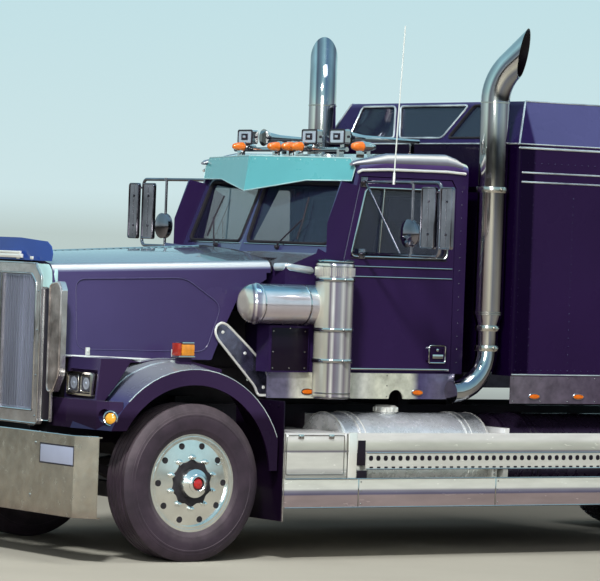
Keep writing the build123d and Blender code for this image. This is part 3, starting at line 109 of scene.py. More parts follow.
def times(tree, a, b):
    return add_node(tree, "Mix", {0: 1.0, 6: a, 7: b}, data_type="RGBA", blend_type="MULTIPLY").outputs[2]


def surface(name, color, rough, metal=0.0, spread=0.1, scale=3.0, coat=0.0, coat_rough=0.03, grain=None,
            rough_spread=0.05, specular=0.5, stretch=None, tilt=None, around=None, gloss=None, bands=None):
    """Principled surface whose colour and roughness vary a little over the piece, with an optional fine grain bump.

    tilt and around paint light, shade and reflections into its colour by how far it faces up and to the right of the
    camera, and bands paint light and shade into it by its place along an axis; gloss drives its reflection by tilt."""
    m, tree = new_material(name)
    low, high = ([min(1, c * share) for c in color] for share in (1 - spread, 1 + spread))
    base = ramp(tree, noise(tree, scale, stretch=stretch), [(0.3, *low), (0.7, *high)])
    if tilt:
        base = times(tree, base, facing(tree, tilt))
    if around:
        base = times(tree, base, facing(tree, around, RIGHT))
    if bands:
        base = times(tree, base, placed(tree, *bands))
    level = facing(tree, gloss) if gloss else None
    inputs = {
        "Base Color": base, "Metallic": metal, "Coat Roughness": coat_rough,
        "Coat Weight": level if gloss else coat, "Specular IOR Level": level if gloss else specular,
        "Roughness": ramp(tree, noise(tree, scale * 2.7, stretch=stretch),
                          [(0.25, max(0.02, rough - rough_spread)), (0.75, rough + rough_spread)]),
    }
    if grain:
        size, strength, distance = grain
        inputs["Normal"] = add_node(tree, "Bump", {
            "Strength": strength, "Distance": distance, "Height": noise(tree, size, 3.0)}).outputs[0]
    shade(tree, inputs)
    m.diffuse_color = (*color, 1)
    return m


def glass_material(name, color, alpha, rough=0.03):
    m, tree = new_material(name)
    shade(tree, {
        "Base Color": ramp(tree, noise(tree, 2.0), [(0.3, *(c * 0.9 for c in color)), (0.7, *color)]),
        "Roughness": ramp(tree, noise(tree, 5.0), [(0.3, rough), (0.7, rough + 0.02)]),
        "Alpha": alpha, "Coat Weight": 1.0})
    m.diffuse_color = (*color, alpha)
    return m


# Painted reflections for polished metal, put into its colour: dark ground below, pale sky above, and streaks round a
# tube from left to right.
RIGHT = (0.824, -0.566, 0.0)
SKY_TILT = [(0, 0.1, 0.07, 0.09), (0.3, 0.24, 0.2, 0.24), (0.46, 0.5, 0.48, 0.5), (0.55, 0.86, 0.88, 0.88), (0.75, 1),
            (1, 0.82, 0.95, 1)]
TUBE_REFLECTIONS = [(0, 0.16, 0.15, 0.2), (0.1, 0.55, 0.53, 0.54), (0.2, 0.95, 0.95, 0.9), (0.27, 0.25, 0.2, 0.24),
           (0.4, 0.48, 0.47, 0.5), (0.5, 0.85, 0.85, 0.82), (0.6, 0.3, 0.33, 0.45), (0.78, 0.52, 0.52, 0.54),
           (0.9, 0.16, 0.12, 0.18), (0.97, 0.85, 0.85, 0.82)]
CLEANER_REFLECTIONS = [(0, 0.5, 0.48, 0.46), (0.06, 0.86, 0.84, 0.7), (0.34, 0.78, 0.78, 0.68), (0.4, 0.22, 0.18, 0.26),
                   (0.48, 1, 1, 0.98), (0.54, 0.3, 0.26, 0.36), (0.66, 0.44, 0.44, 0.52), (0.73, 1),
                   (0.81, 0.42, 0.38, 0.46), (0.9, 0.95, 0.95, 0.9), (1, 0.3, 0.24, 0.34)]
CLEANER_TILT = [(0, 0.45, 0.38, 0.42), (0.3, 0.7, 0.62, 0.64), (0.5, 1), (0.7, 1), (0.85, 0.24, 0.5, 0.66),
                (1, 0.45, 0.7, 0.8)]
# Colours by tilt over a white base: the paint's own dark navy where side on, painted shade on faces turned down, and
# painted highlights where rounded shoulders, crowns and roof edges turn up.
PAINT_TILT = [(0, 0.01, 0.003, 0.012), (0.45, 0.02, 0.008, 0.04), (0.5, 0.03, 0.014, 0.066),
              (0.545, 0.062, 0.048, 0.14), (0.6, 0.16, 0.17, 0.29), (0.7, 0.6, 0.66, 0.7),
              (0.86, 0.55, 0.62, 0.66), (0.95, 0.16, 0.2, 0.26), (1, 0.11, 0.14, 0.19)]
CAB_TILT = [(0, 0.01, 0.003, 0.012), (0.45, 0.018, 0.008, 0.038), (0.5, 0.028, 0.014, 0.064), (0.58, 0.04, 0.03, 0.1),
            (0.7, 0.04, 0.04, 0.13), (0.745, 0.09, 0.1, 0.17), (0.785, 0.22, 0.25, 0.28), (0.85, 0.26, 0.3, 0.32),
            (1, 0.1, 0.12, 0.15)]
FENDER_TILT = [(0, 0.01, 0.003, 0.012), (0.49, 0.026, 0.012, 0.045), (0.51, 0.05, 0.032, 0.085),
               (0.6, 0.035, 0.03, 0.11), (0.84, 0.06, 0.065, 0.17), (0.93, 0.17, 0.19, 0.24), (1, 0.34, 0.38, 0.4)]
SLEEPER_TILT = [(0, 0.01, 0.003, 0.012), (0.49, 0.02, 0.009, 0.045), (0.51, 0.03, 0.013, 0.062),
                (0.58, 0.05, 0.045, 0.13), (0.71, 0.08, 0.085, 0.22), (1, 0.16, 0.2, 0.28)]
# Painted highlight for the roof's rounded shoulders, brightest where they turn part way up.
ROOF_TILT = [(0.3, 0.1, 0.1, 0.14), (0.48, 0.22, 0.22, 0.28), (0.6, 0.5, 0.54, 0.58), (0.7, 1, 1, 0.97),
             (0.8, 0.62, 0.66, 0.66), (0.9, 0.16, 0.2, 0.28), (1, 0.08, 0.1, 0.18)]
# Tyre colour by tilt: painted light on faces turned up and painted shade on those turned down.
TYRE_TILT = [(0, 0.26, 0.24, 0.26), (0.47, 0.31), (0.52, 0.36, 0.36, 0.35), (0.6, 0.72, 0.85, 0.66), (1, 1, 1.2, 0.9)]
# Painted light and shade by place: PAINT_FOOT darkens the paint below 1.25 m as painted shade, CAB_BANDS puts a painted
# highlight on the cab roof, FENDER_BANDS darkens the fenders below 1 m as painted shade, SLEEPER_BANDS paints the
# sleeper's front in shade, and BUMPER_BANDS darkens the bumper's foot as a painted reflection of the ground.
PAINT_FOOT = [(0.3, 0.45, 0.4, 0.45), (1, 0.5, 0.45, 0.5), (1.16, 0.75), (1.25, 1)]
PAINT_BANDS = ("Z", 0.3, 3, PAINT_FOOT + [(3, 1)])
CAB_BANDS = ("Z", 0.3, 3, PAINT_FOOT + [(2.66, 1), (2.71, 3.4, 3.8, 3), (3, 3.4, 3.8, 3)])
FENDER_BANDS = ("Z", 0.3, 1.6, [(0.3, 0.42, 0.36, 0.4), (0.95, 0.42, 0.36, 0.4), (1.01, 1), (1.6, 1)])
# Rear tank painted almost black as in shadow; the front tank keeps its colour.
TANK_BANDS = ("X", -2.4, 1.2, [(-2.4, 1), (-0.9, 1), (-0.8, 0.05, 0.03, 0.07), (1.2, 0.05, 0.03, 0.07)])
SLEEPER_BANDS = ("X", -0.9, 1.3, [(-0.9, 0.22, 0.09, 0.3), (-0.675, 0.22, 0.09, 0.3), (-0.655, 1), (1.3, 1)])
BUMPER_BANDS = ("Z", 0.25, 0.95, [(0.25, 0.6, 0.5, 0.5), (0.36, 0.85, 0.82, 0.8), (0.6, 1), (0.95, 1)])
# Heights: plain lower step, its dark middle band and bright top; the shade under the slotted step; the panel above.
STEP_BANDS = ("Z", 0.25, 0.9, [
    (0.25, 0.3, 0.24, 0.25), (0.36, 0.34, 0.27, 0.27), (0.438, 0.36, 0.28, 0.28), (0.446, 0.12, 0.11, 0.2),
    (0.47, 0.3, 0.29, 0.36), (0.484, 0.9, 0.92, 0.86), (0.548, 0.86, 0.88, 0.8), (0.556, 0.4, 0.4, 0.36),
    (0.612, 0.6, 0.6, 0.58), (0.625, 0.8, 0.8, 0.74), (0.725, 0.8, 0.8, 0.74), (0.735, 0.16, 0.14, 0.2),
    (0.75, 0.55, 0.56, 0.5), (0.79, 0.72, 0.74, 0.66), (0.82, 1, 1, 0.98), (0.9, 1)])
# Skirt colour along x: bright painted reflections from -2.45 to -1.5 m, and painted shadow in front of that and behind
# it.
SKIRT_BANDS = ("X", -3, 1.5, [
    (-3, 0.2, 0.18, 0.3), (-2.55, 0.24, 0.22, 0.34), (-2.45, 0.95, 0.94, 0.82), (-2.05, 0.85, 0.87, 0.74),
    (-1.95, 1, 1, 0.95), (-1.8, 0.95, 0.96, 0.8), (-1.5, 0.95, 0.96, 0.8), (-1.44, 0.12, 0.1, 0.26),
    (-1.2, 0.26, 0.25, 0.38), (-1.05, 0.12, 0.09, 0.2), (-0.85, 0.22, 0.19, 0.24), (0, 0.16, 0.12, 0.19),
    (1.5, 0.2, 0.16, 0.22)])

PAINTED = {"color": (0.9, 0.9, 0.9), "spread": 0.11, "coat_rough": 0.05, "grain": (420.0, 0.03, 0.0004)}
LENS = {"rough": 0.18, "scale": 40.0}
M = {
    "paint": surface("cab_paint", rough=0.25, scale=1.1, **PAINTED, tilt=PAINT_TILT, bands=PAINT_BANDS,
                     gloss=[(0, 0), (0.5, 0.06), (0.6, 0.3), (0.8, 1)]),
    "cab": surface("cab_shell_paint", rough=0.25, scale=1.1, **PAINTED, tilt=CAB_TILT, bands=CAB_BANDS,
                   gloss=[(0, 0), (0.5, 0.06), (0.6, 0.3), (0.8, 1)]),
    "fender": surface("fender_paint", rough=0.25, scale=1.5, **PAINTED, tilt=FENDER_TILT, bands=FENDER_BANDS,
                      gloss=[(0, 0), (0.5, 0.05), (0.8, 0.15), (1, 0.6)]),
    "sleeper": surface("sleeper_paint", rough=0.28, scale=1.1, **PAINTED, tilt=SLEEPER_TILT, bands=SLEEPER_BANDS,
                       gloss=[(0, 0), (0.5, 0.04), (0.75, 0.1), (1, 0.6)]),
    "edge": surface("edge_paint", (0.07, 0.06, 0.15), 0.3, scale=2, specular=0.3),
    # Near-white base under ROOF_TILT: the roof shoulders' painted highlight, not the roof's paint.
    "cap": surface("roof_shoulder_painted_highlight", (0.86, 0.86, 0.86), 0.2, spread=0.12, coat=0.4, tilt=ROOF_TILT),
    # Near-black for dark parts; on the rear tank's straps and rims it is painted shadow.
    "near_black_and_painted_shade": surface("shaded_paint", (0.006, 0.002, 0.01), 0.42, coat=0.1, coat_rough=0.1, scale=2, specular=0.15),
    "visor": surface("visor_paint", (0.11, 0.42, 0.45), 0.3, spread=0.06, coat=0.5, coat_rough=0.06, scale=2),
    # Pale cyan: painted sky highlight on the hood nose's rounded corners and the visor's lower lip.
    "pale": surface("pale_painted_highlight", (0.42, 0.66, 0.66), 0.18, spread=0.15, scale=5, coat=0.6),
    "white": surface("pale_plate", (0.38, 0.42, 0.56), 0.35, spread=0.05, scale=6),
    "deflector": surface("blue_acrylic", (0.02, 0.062, 0.29), 0.22, coat=0.3),
    "chrome": surface("chrome", (0.72, 0.71, 0.69), 0.09, 1, scale=3.5, rough_spread=0.04, tilt=SKY_TILT),
    "tube": surface("stack_chrome", (0.86, 0.85, 0.82), 0.1, 1, 0.14, 6, stretch=(1, 1, 0.2), around=TUBE_REFLECTIONS),
    "cleaner": surface("cleaner_chrome", (0.9, 0.9, 0.88), 0.1, 0.55, 0.14, 5, stretch=(1, 1, 0.25),
                       around=CLEANER_REFLECTIONS, tilt=CLEANER_TILT),
    # Grille shell: painted reflection, darker where it faces down.
    "shell": surface("shell_chrome", (0.84, 0.8, 0.8), 0.13, 0.85, 0.22, 7,
                     tilt=[(0, 0.3, 0.25, 0.28), (0.45, 0.85, 0.84, 0.84), (0.55, 0.95), (1, 0.8, 0.85, 0.9)]),
    "wing": surface("wing_chrome", (0.56, 0.49, 0.47), 0.14, 0.85, 0.55, 9),
    # Dark blue base with strong mottling: painted reflections on the splash guards.
    "guard": surface("guard_chrome", (0.26, 0.26, 0.38), 0.12, 0.9, 0.75, 9),
    # Pale steel for the sleeper's trims, and painted highlight lines on the fenders and the cowl's shoulders.
    "edge_shine": surface("fender_shine", (0.62, 0.66, 0.74), 0.2, 0.6, 0.5, 4),
    # Mirror backs: dark base with strong mottling as painted reflections.
    "shade": surface("shaded_chrome", (0.24, 0.22, 0.25), 0.12, 1, 0.45, 4),
    "mirror": surface("mirror_glass", (0.6, 0.6, 0.62), 0.03, 1, 0.02, 4, rough_spread=0.01),
    "steel": surface("polished_steel", (0.52, 0.48, 0.43), 0.2, 1, 0.14, rough_spread=0.08),
    "bright": surface("bright_steel", (0.93, 0.93, 0.86), 0.2, 0.4, 0.12, rough_spread=0.06),
    "bumper": surface("bumper_steel", (0.54, 0.49, 0.42), 0.22, 0.9, 0.2, 7, rough_spread=0.08, bands=BUMPER_BANDS),
    # Skirts: strong mottling as painted reflections; SKIRT_BANDS paints light and shade along them.
    "skirt": surface("skirt_steel", (0.82, 0.82, 0.82), 0.18, 0.4, 0.34, 13, bands=SKIRT_BANDS),
    "step": surface("step_metal", (0.93, 0.93, 0.93), 0.24, 0.3, 0.14, 7, stretch=(0.4, 1, 2), bands=STEP_BANDS),
    "alu": surface("polished_aluminium", (0.8, 0.8, 0.77), 0.16, 1, scale=6, rough_spread=0.06,
                   grain=(160, 0.05, 0.0004)),
    # Tank: TANK_BANDS paints the rear tank as in shadow, and tilt paints faces turned up darker as painted shade.
    "tank": surface("tank_aluminium", (0.93, 0.94, 0.9), 0.28, 0.35, 0.2, 6, rough_spread=0.08, bands=TANK_BANDS,
                    grain=(90, 0.06, 0.0006), tilt=[(0, 1), (0.62, 1), (0.85, 0.6, 0.62, 0.67), (1, 0.45, 0.47, 0.52)]),
    "grille": surface("grille_bars", (0.36, 0.37, 0.45), 0.36, 0.8, 0.25, 5, stretch=(1, 1, 0.15)),
    "grille_dark": surface("grille_backing", (0.16, 0.16, 0.2), 0.5, 0.5, 0.25, 5),
    "plate": surface("greased_steel", (0.16, 0.15, 0.14), 0.35, 0.9, 0.4, 7, grain=(60, 0.2, 0.001)),
    "iron": surface("casting", (0.03, 0.026, 0.03), 0.62, 0.3, 0.35, 6, grain=(90, 0.35, 0.0015), specular=0.3),
    "black": surface("chassis_black", (0.01, 0.006, 0.012), 0.48, 0, 0.4, 4, grain=(120, 0.1, 0.0006), specular=0.2),
    "rubber": surface("black_rubber", (0.016, 0.014, 0.018), 0.75, 0, 0.3, 5, grain=(200, 0.2, 0.0008), specular=0.25),
    "tyre": surface("tyre_rubber", (0.115, 0.074, 0.112), 0.62, 0, 0.28, 9, grain=(260, 0.18, 0.0008), specular=0.35,
                    tilt=TYRE_TILT),
    "plastic": surface("dark_plastic", (0.022, 0.018, 0.026), 0.6, 0, 0.25, 8, grain=(500, 0.25, 0.0006),
                       specular=0.25),
    "fabric": surface("seat_fabric", (0.045, 0.05, 0.085), 0.85, 0, 0.3, 30, grain=(700, 0.5, 0.001)),
    "turn": surface("turn_lens", (0.72, 0.27, 0.025), 0.2, spread=0.15, scale=30, coat=0.4),
    "yellow": surface("bright_amber", (0.95, 0.42, 0.03), 0.18, spread=0.15, scale=30, coat=0.5),
    "orange": surface("orange_lens", (0.4, 0.03, 0.012), spread=0.12, coat=0.4, **LENS),
    "amber": surface("amber_lens", (0.78, 0.17, 0.01), spread=0.12, coat=0.4, **LENS),
    "red": surface("red_lens", (0.5, 0.012, 0.012), spread=0.15, coat=0.5, **LENS),
    "lamp_face": surface("lamp_face", (0.5, 0.56, 0.66), 0.12, 0.4, 0.08, 25, coat=1),
    "glass": glass_material("window_glass", (0.02, 0.025, 0.06), 0.35),
    "lens": glass_material("clear_lens", (0.3, 0.32, 0.4), 0.12),
}


def by_word(table):
    return {word: key for key, words in table.items() for word in words.split()}


NODE_MATERIAL = by_word({
    "paint": "door_left door_right hood", "cab": "cab_shell", "fender": "fenders", "sleeper": "sleeper_shell",
    "visor": "sun_visor", "deflector": "bug_deflector", "chrome": "air_horns roof_lamps", "tube": "exhaust_stacks",
    "cleaner": "air_cleaners", "shell": "grille_shell", "grille": "grille_bars", "guard": "splash_guards",
    "shade": "mirror_left mirror_right", "bumper": "bumper", "skirt": "skirts", "step": "steps", "tank": "fuel_tanks",
    "iron": "drive_axles front_axle knuckle_left knuckle_right tie_rod suspension powertrain",
    "plate": "fifth_wheel_plate", "rubber": "mudflaps sleeper_boot", "plastic": "dashboard", "fabric": "seats",
    "amber": "roof_markers marker_lamps", "red": "tail_lamps", "lens": "headlamps",
    "glass": "windows door_glass_left door_glass_right",
})
for name, node in NODES.items():
    usual = "alu" if name.startswith("rim_") else "tyre" if name.startswith("tyre") else "black"
    node.data.materials.clear()
    node.data.materials.append(M[NODE_MATERIAL.get(name, usual)])


# ---------------------------------------------------------------- mesh tools
def place(name, bm, material, body, smooth, stands_for):
    """Turns a bmesh into a named piece that rides on a body; edges under smooth degrees are shaded round."""
    bmesh.ops.recalc_face_normals(bm, faces=bm.faces)
    bmesh.ops.transform(bm, matrix=Matrix.Translation((SHIFT, 0, 0)) @ Matrix.Scale(0.001, 4), verts=bm.verts)
    mesh = bpy.data.meshes.new(name)
    bm.to_mesh(mesh)
    bm.free()
    mesh.materials.append(M[material])
    piece = bpy.data.objects.new(name, mesh)
    scene.collection.objects.link(piece)
    for p in mesh.polygons:
        p.use_smooth = True
    mesh.set_sharp_from_angle(angle=math.radians(smooth))
    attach(piece, body)
    if stands_for:
        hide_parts(stands_for)


def turned(centre, direction):
    """Matrix that takes local +Z to direction and the origin to centre."""
    return Matrix.Translation(centre) @ Vector(direction).normalized().to_track_quat("Z", "Y").to_matrix().to_4x4()


def turns(count, first=0.0):
    """Angles of count even steps round a circle."""
    return [2 * math.pi * (k + first) / count for k in range(count)]


def round_points(x, z, radius, count, first=0.0, tall=None):
    """2-D points round a circle, or round an oval that is tall high from its centre."""
    return [(x + radius * math.cos(a), z + (tall or radius) * math.sin(a)) for a in turns(count, first)]


def rounded(outline, radius, steps=4):
    """Outline of 2-D points with each corner replaced by a short arc."""
    out = []
    for i, p in enumerate(outline):
        p = Vector(p)
        a = Vector(outline[i - 1]) - p
        b = Vector(outline[(i + 1) % len(outline)]) - p
        r = min(radius, a.length / 2.2, b.length / 2.2)
        p0, p1 = p + a.normalized() * r, p + b.normalized() * r
        for k in range(steps + 1):
            t = k / steps
            q = p0 * (1 - t) ** 2 + p * 2 * t * (1 - t) + p1 * t ** 2
            out.append((q.x, q.y))
    return out


def panel(x0, x1, z0, z1, radius, steps=4):
    return rounded([(x0, z0), (x1, z0), (x1, z1), (x0, z1)], radius, steps)


def at_x(x, outline, side=1):
    return [(x, side * y, z) for y, z in outline]


def at_y(y, outline):
    return [(x, y, z) for x, z in outline]


PIECES = []


class Piece:
    """Mesh in the part's own millimetres, with x = 0 at the front axle; place() moves it into the row frame."""

    def __init__(self, name, material, body="chassis", smooth=40, stands_for=None):
        self.bm = bmesh.new()
        PIECES.append((name, self.bm, material, body, smooth, stands_for))

    def verts(self, points):
        return [self.bm.verts.new(p) for p in points]

    def skin(self, rings, closed=False):
        """Faces between rings of vertices, where a ring may be one point; closed joins the last to the first."""
        for a, b in zip(rings, rings[1:] + rings[:1] * closed):
            n = max(len(a), len(b))
            for k in range(n):
                j = (k + 1) % n
                corners = a[k % len(a)], a[j % len(a)], b[j % len(b)], b[k % len(b)]
                self.bm.faces.new(list(dict.fromkeys(corners)))

    def grid(self, rows):
        rows = [self.verts(row) for row in rows]
        for a, b in zip(rows, rows[1:]):
            for j in range(len(a) - 1):
                self.bm.faces.new((a[j], a[j + 1], b[j + 1], b[j]))

    def hoop(self, matrix, along, radius, count, wobble=None):
        """Ring of vertices round the matrix's Z axis; wobble changes its radius by angle."""
        points = []
        for a in turns(count if radius else 1):
            r = radius * (wobble(a) if wobble else 1)
            points.append(matrix @ Vector((r * math.cos(a), r * math.sin(a), along)))
        return self.verts(points)

    def circle(self, centre, side, other, radius, count, flat=1.0):
        return self.verts(centre + side * radius * flat * math.cos(a) + other * radius * math.sin(a)
                          for a in turns(count))

    def box(self, low, high, bevel=0.0, matrix=None):
        """Box between two opposite corners."""
        made = bmesh.ops.create_cube(self.bm, size=1.0)["verts"]
        size = [abs(h - l) for l, h in zip(low, high)]
        mid = [(h + l) / 2 for l, h in zip(low, high)]
        bmesh.ops.transform(self.bm, matrix=Matrix.Translation(mid) @ Matrix.Diagonal((*size, 1)), verts=made)
        if bevel:
            edges = list({e for v in made for e in v.link_edges})
            made = bmesh.ops.bevel(self.bm, geom=edges, offset=bevel, segments=2, profile=0.6, affect="EDGES")["verts"]
        if matrix:
            bmesh.ops.transform(self.bm, matrix=matrix, verts=made)

    def lathe(self, profile, centre, direction=UP, count=32, wobble=None):
        """Revolves (along, radius) points about direction through centre."""
        matrix = turned(centre, direction)
        rings = [self.hoop(matrix, along, radius, count, wobble) for along, radius in profile]
        self.skin(rings)
        for ring in (rings[0], rings[-1]):
            if len(ring) > 1:
                self.bm.faces.new(ring)

    def ring(self, profile, centre, direction=UP, count=48):
        """Like lathe, for a closed outline: its last point joins its first."""
        matrix = turned(centre, direction)
        self.skin([self.hoop(matrix, along, radius, count) for along, radius in profile], True)

    def tube(self, points, radius, count=8, closed=False, flat=1.0):
        """Tube along points; flat squeezes it along the first sideways direction."""
        points = [Vector(p) for p in points]
        rings, side, last = [], None, len(points) - 1
        for i, p in enumerate(points):
            a = points[i - 1] if i or closed else p
            b = points[(i + 1) % len(points)] if i < last or closed else p
            ahead = (b - a).normalized()
            side = side or ahead.orthogonal().normalized()
            side = (side - ahead * side.dot(ahead)).normalized()
            rings.append(self.circle(p, side, ahead.cross(side), radius, count, flat))
        self.skin(rings, closed)
        if not closed:
            self.bm.faces.new(rings[0])
            self.bm.faces.new(rings[-1][::-1])

    def plate(self, outline, direction, thick, offset=0.0):
        """Plate on an outline of 3-D points, moved by offset along direction and thick along it."""
        n = Vector(direction).normalized()
        low, high = (self.verts(Vector(p) + n * out for p in outline) for out in (offset, offset + thick))
        self.bm.faces.new(low)
        self.bm.faces.new(high[::-1])
        for k in range(len(low)):
            j = (k + 1) % len(low)
            self.bm.faces.new((low[k], high[k], high[j], low[j]))

    def bolt(self, centre, direction, radius, height):
        """Hexagon head on a washer."""
        matrix = turned(centre, direction)
        for r, low, high, n in ((radius * 1.35, 0, height * 0.22, 14), (radius, height * 0.2, height, 6)):
            made = bmesh.ops.create_cone(self.bm, cap_ends=True, segments=n, radius1=r, radius2=r * 0.95,
                                         depth=high - low)
            shift = Matrix.Translation((0, 0, (low + high) / 2))
            bmesh.ops.transform(self.bm, matrix=matrix @ shift, verts=made["verts"])

    def rivet(self, centre, direction, radius=5.0):
        matrix = turned(centre, direction)
        rings = [self.hoop(matrix, radius * z, radius * r, 8) for r, z in ((1.0, 0.0), (0.75, 0.45))]
        self.skin(rings)
        self.bm.faces.new(rings[1])


# ---------------------------------------------------------------- stage
FLOOR_HALF = 160.0
# Distances between which the camera sees the floor fade into the pale sky, far from the lamps.
FADE_FROM, FADE_TO = 9.0, 42.0
WORLD_LIGHT = 0.25
SEEN_SKY = [(0, 0.5, 0.6, 0.58), (0.01, 0.62, 0.78, 0.8), (0.15, 0.42, 0.7, 0.78), (0.6, 0.3, 0.56, 0.72)]
LIT_SKY = [(0, 0.2, 0.2, 0.22), (0.15, 0.6, 0.66, 0.7), (0.4, 0.5, 0.57, 0.62), (0.6, 0.3, 0.34, 0.38),
           (1, 0.26, 0.3, 0.34)]
# Name, place, aim, energy and size.
LAMPS = (("key_lamp", (-14, -12, 16), (-1.0, 0, 1.2), 4300, 2.5),
         ("fill_lamp", (-20, -22, 8), (-2.0, -1, 1.2), 2050, 8.0),
         ("top_lamp", (-1, -4, 16), (0, 0, 1.5), 800, 6.0))


def floor_material():
    m, tree = new_material("studio_floor")
    place = add_node(tree, "NewGeometry").outputs["Position"]
    away = add_node(tree, "VectorMath", {0: place}, operation="LENGTH").outputs["Value"]
    fade = add_node(tree, "MapRange", {0: away, "From Min": FADE_FROM, "From Max": FADE_TO},
                    interpolation_type="SMOOTHSTEP").outputs[0]
    seen = add_node(tree, "LightPath").outputs["Is Camera Ray"]
    shade(tree, {
        "Base Color": ramp(tree, noise(tree, 0.6), [(0.3, 0.43, 0.415, 0.35), (0.7, 0.47, 0.455, 0.385)]),
        "Roughness": 1.0, "Specular IOR Level": 0.0, "Emission Color": (0.52, 0.60, 0.58, 1),
        "Emission Strength": add_node(tree, "Math", {0: fade, 1: seen}, operation="MULTIPLY").outputs[0]})
    return m


def build_stage():
    mesh = bpy.data.meshes.new("studio_floor")
    corners = [(x * FLOOR_HALF, y * FLOOR_HALF, 0) for x, y in ((-1, -1), (1, -1), (1, 1), (-1, 1))]
    mesh.from_pydata(corners, [], [(0, 1, 2, 3)])
    mesh.materials.append(floor_material())
    floor = bpy.data.objects.new("studio_floor", mesh)
    scene.collection.objects.link(floor)

    # The camera, metal and glass see a pale sky; what lights the part is plainer and weaker.
    world = bpy.data.worlds.new("studio_world")
    scene.world = world
    world.use_nodes = True
    tree = world.node_tree
    tree.nodes.clear()
    height = add_node(tree, "SeparateXYZ", {0: add_node(tree, "TexCoord").outputs["Generated"]}).outputs["Z"]
    seen = add_node(tree, "Background", {"Color": ramp(tree, height, SEEN_SKY)})
    lit = add_node(tree, "Background", {"Color": ramp(tree, height, LIT_SKY), "Strength": WORLD_LIGHT})
    rays = add_node(tree, "LightPath")
    shown = rays.outputs["Is Camera Ray"]
    for kind in ("Glossy", "Transmission"):
        shown = add_node(tree, "Math", {0: shown, 1: rays.outputs[f"Is {kind} Ray"]}, operation="ADD",
                         use_clamp=True).outputs[0]
    mix = add_node(tree, "MixShader", {0: shown, 1: lit.outputs[0], 2: seen.outputs[0]})
    add_node(tree, "OutputWorld", {0: mix.outputs[0]})

    for name, at, aim, energy, size in LAMPS:
        light = bpy.data.lights.new(name, "AREA")
        light.energy = energy
        light.size = size
        lamp = bpy.data.objects.new(name, light)
        lamp.location = at
        lamp.rotation_euler = (Vector(aim) - Vector(at)).to_track_quat("-Z", "Y").to_euler()
        scene.collection.objects.link(lamp)


def build_camera():
    """Camera fitted to the photograph: place, heading, pitch, roll and focal length."""
    heading, pitch, roll = math.radians(34.49), math.radians(-0.73), math.radians(2.04)
    ahead = Vector((math.sin(heading) * math.cos(pitch), math.cos(heading) * math.cos(pitch), math.sin(pitch)))
    level = Vector((math.cos(heading), -math.sin(heading), 0))
    up = level.cross(ahead)
    right = level * math.cos(roll) + up * math.sin(roll)
    up = -level * math.sin(roll) + up * math.cos(roll)
    data = bpy.data.cameras.new("photo_camera")
    data.sensor_width = 36.0
    data.lens = 229.39
    data.clip_end = 500.0
    camera = bpy.data.objects.new("photo_camera", data)
    turn = Matrix((right, up, -ahead)).transposed().to_4x4()
    camera.matrix_world = Matrix.Translation((-13.785 + SHIFT, -22.405, 2.149)) @ turn
    scene.collection.objects.link(camera)
    scene.camera = camera


# ---------------------------------------------------------------- wheels
# Half of a tyre's outline as (distance from the middle plane, radius), from the bead to the tread and its grooves.
TYRE_HALF = [(104, 312), (112, 318), (121, 333), (129, 352), (131, 353), (132, 358), (134, 359), (137, 378), (140, 402),
             (139.5, 428), (138, 446), (139.5, 448), (138.5, 458), (136, 460), (132, 478), (130, 480), (128, 488),
             (120, 502), (112, 519), (106, 525), (72, 525), (70, 511), (60, 511), (58, 525), (28, 525), (26, 511),
             (20, 511), (18, 525)]
BLOCK_FOOT, BLOCK_LEAN = 508, 0.014
NUT = 17
BEAD = [(0, 296), (5, 300), (9, 308), (6, 318), (-2, 320)]


def tyre_mesh(piece, y, blocks):
    """Steered tyres have plain ribs; driven ones are cut across into blocks."""
    count = 54 if blocks else 24
    cuts = ((0, 0), (0.02, 1), (0.72, 1), (0.74, 0)) if blocks else ((0, 0), (0.25, 0), (0.5, 0), (0.75, 0))
    angles = [(a + 2 * math.pi / count * share, high) for a in turns(count) for share, high in cuts]
    matrix = turned((0, y, WHEEL_Z), (0, 1, 0))
    rings = []
    for along, radius in TYRE_HALF + [(-d, r) for d, r in reversed(TYRE_HALF)]:
        cut = blocks and radius > 500
        lean = math.copysign(BLOCK_LEAN, along) * (1 - abs(along) / 112) if cut else 0.0
        ring = []
        for a, high in angles:
            r = min(radius, BLOCK_FOOT) if cut and not high else radius
            ring.append(matrix @ Vector((r * math.cos(a + lean), r * math.sin(a + lean), along)))
        rings.append(piece.verts(ring))
    piece.skin(rings, True)


def wheel_nuts(piece, x, y, out, height):
    """Nut covers: a foot, a waist and a domed cap."""
    for nx, nz in round_points(x, WHEEL_Z, 172, 10, 0.5):
        piece.lathe([(0, NUT * 1.25), (2, NUT * 1.25), (3, NUT * 1.02)], (nx, y, nz), out, 12)
        piece.lathe([(2, NUT), (height * 0.55, NUT), (height * 0.6, NUT * 0.82), (height * 0.9, NUT * 0.7),
                     (height, NUT * 0.35), (height, 0)], (nx, y, nz), out, 12)


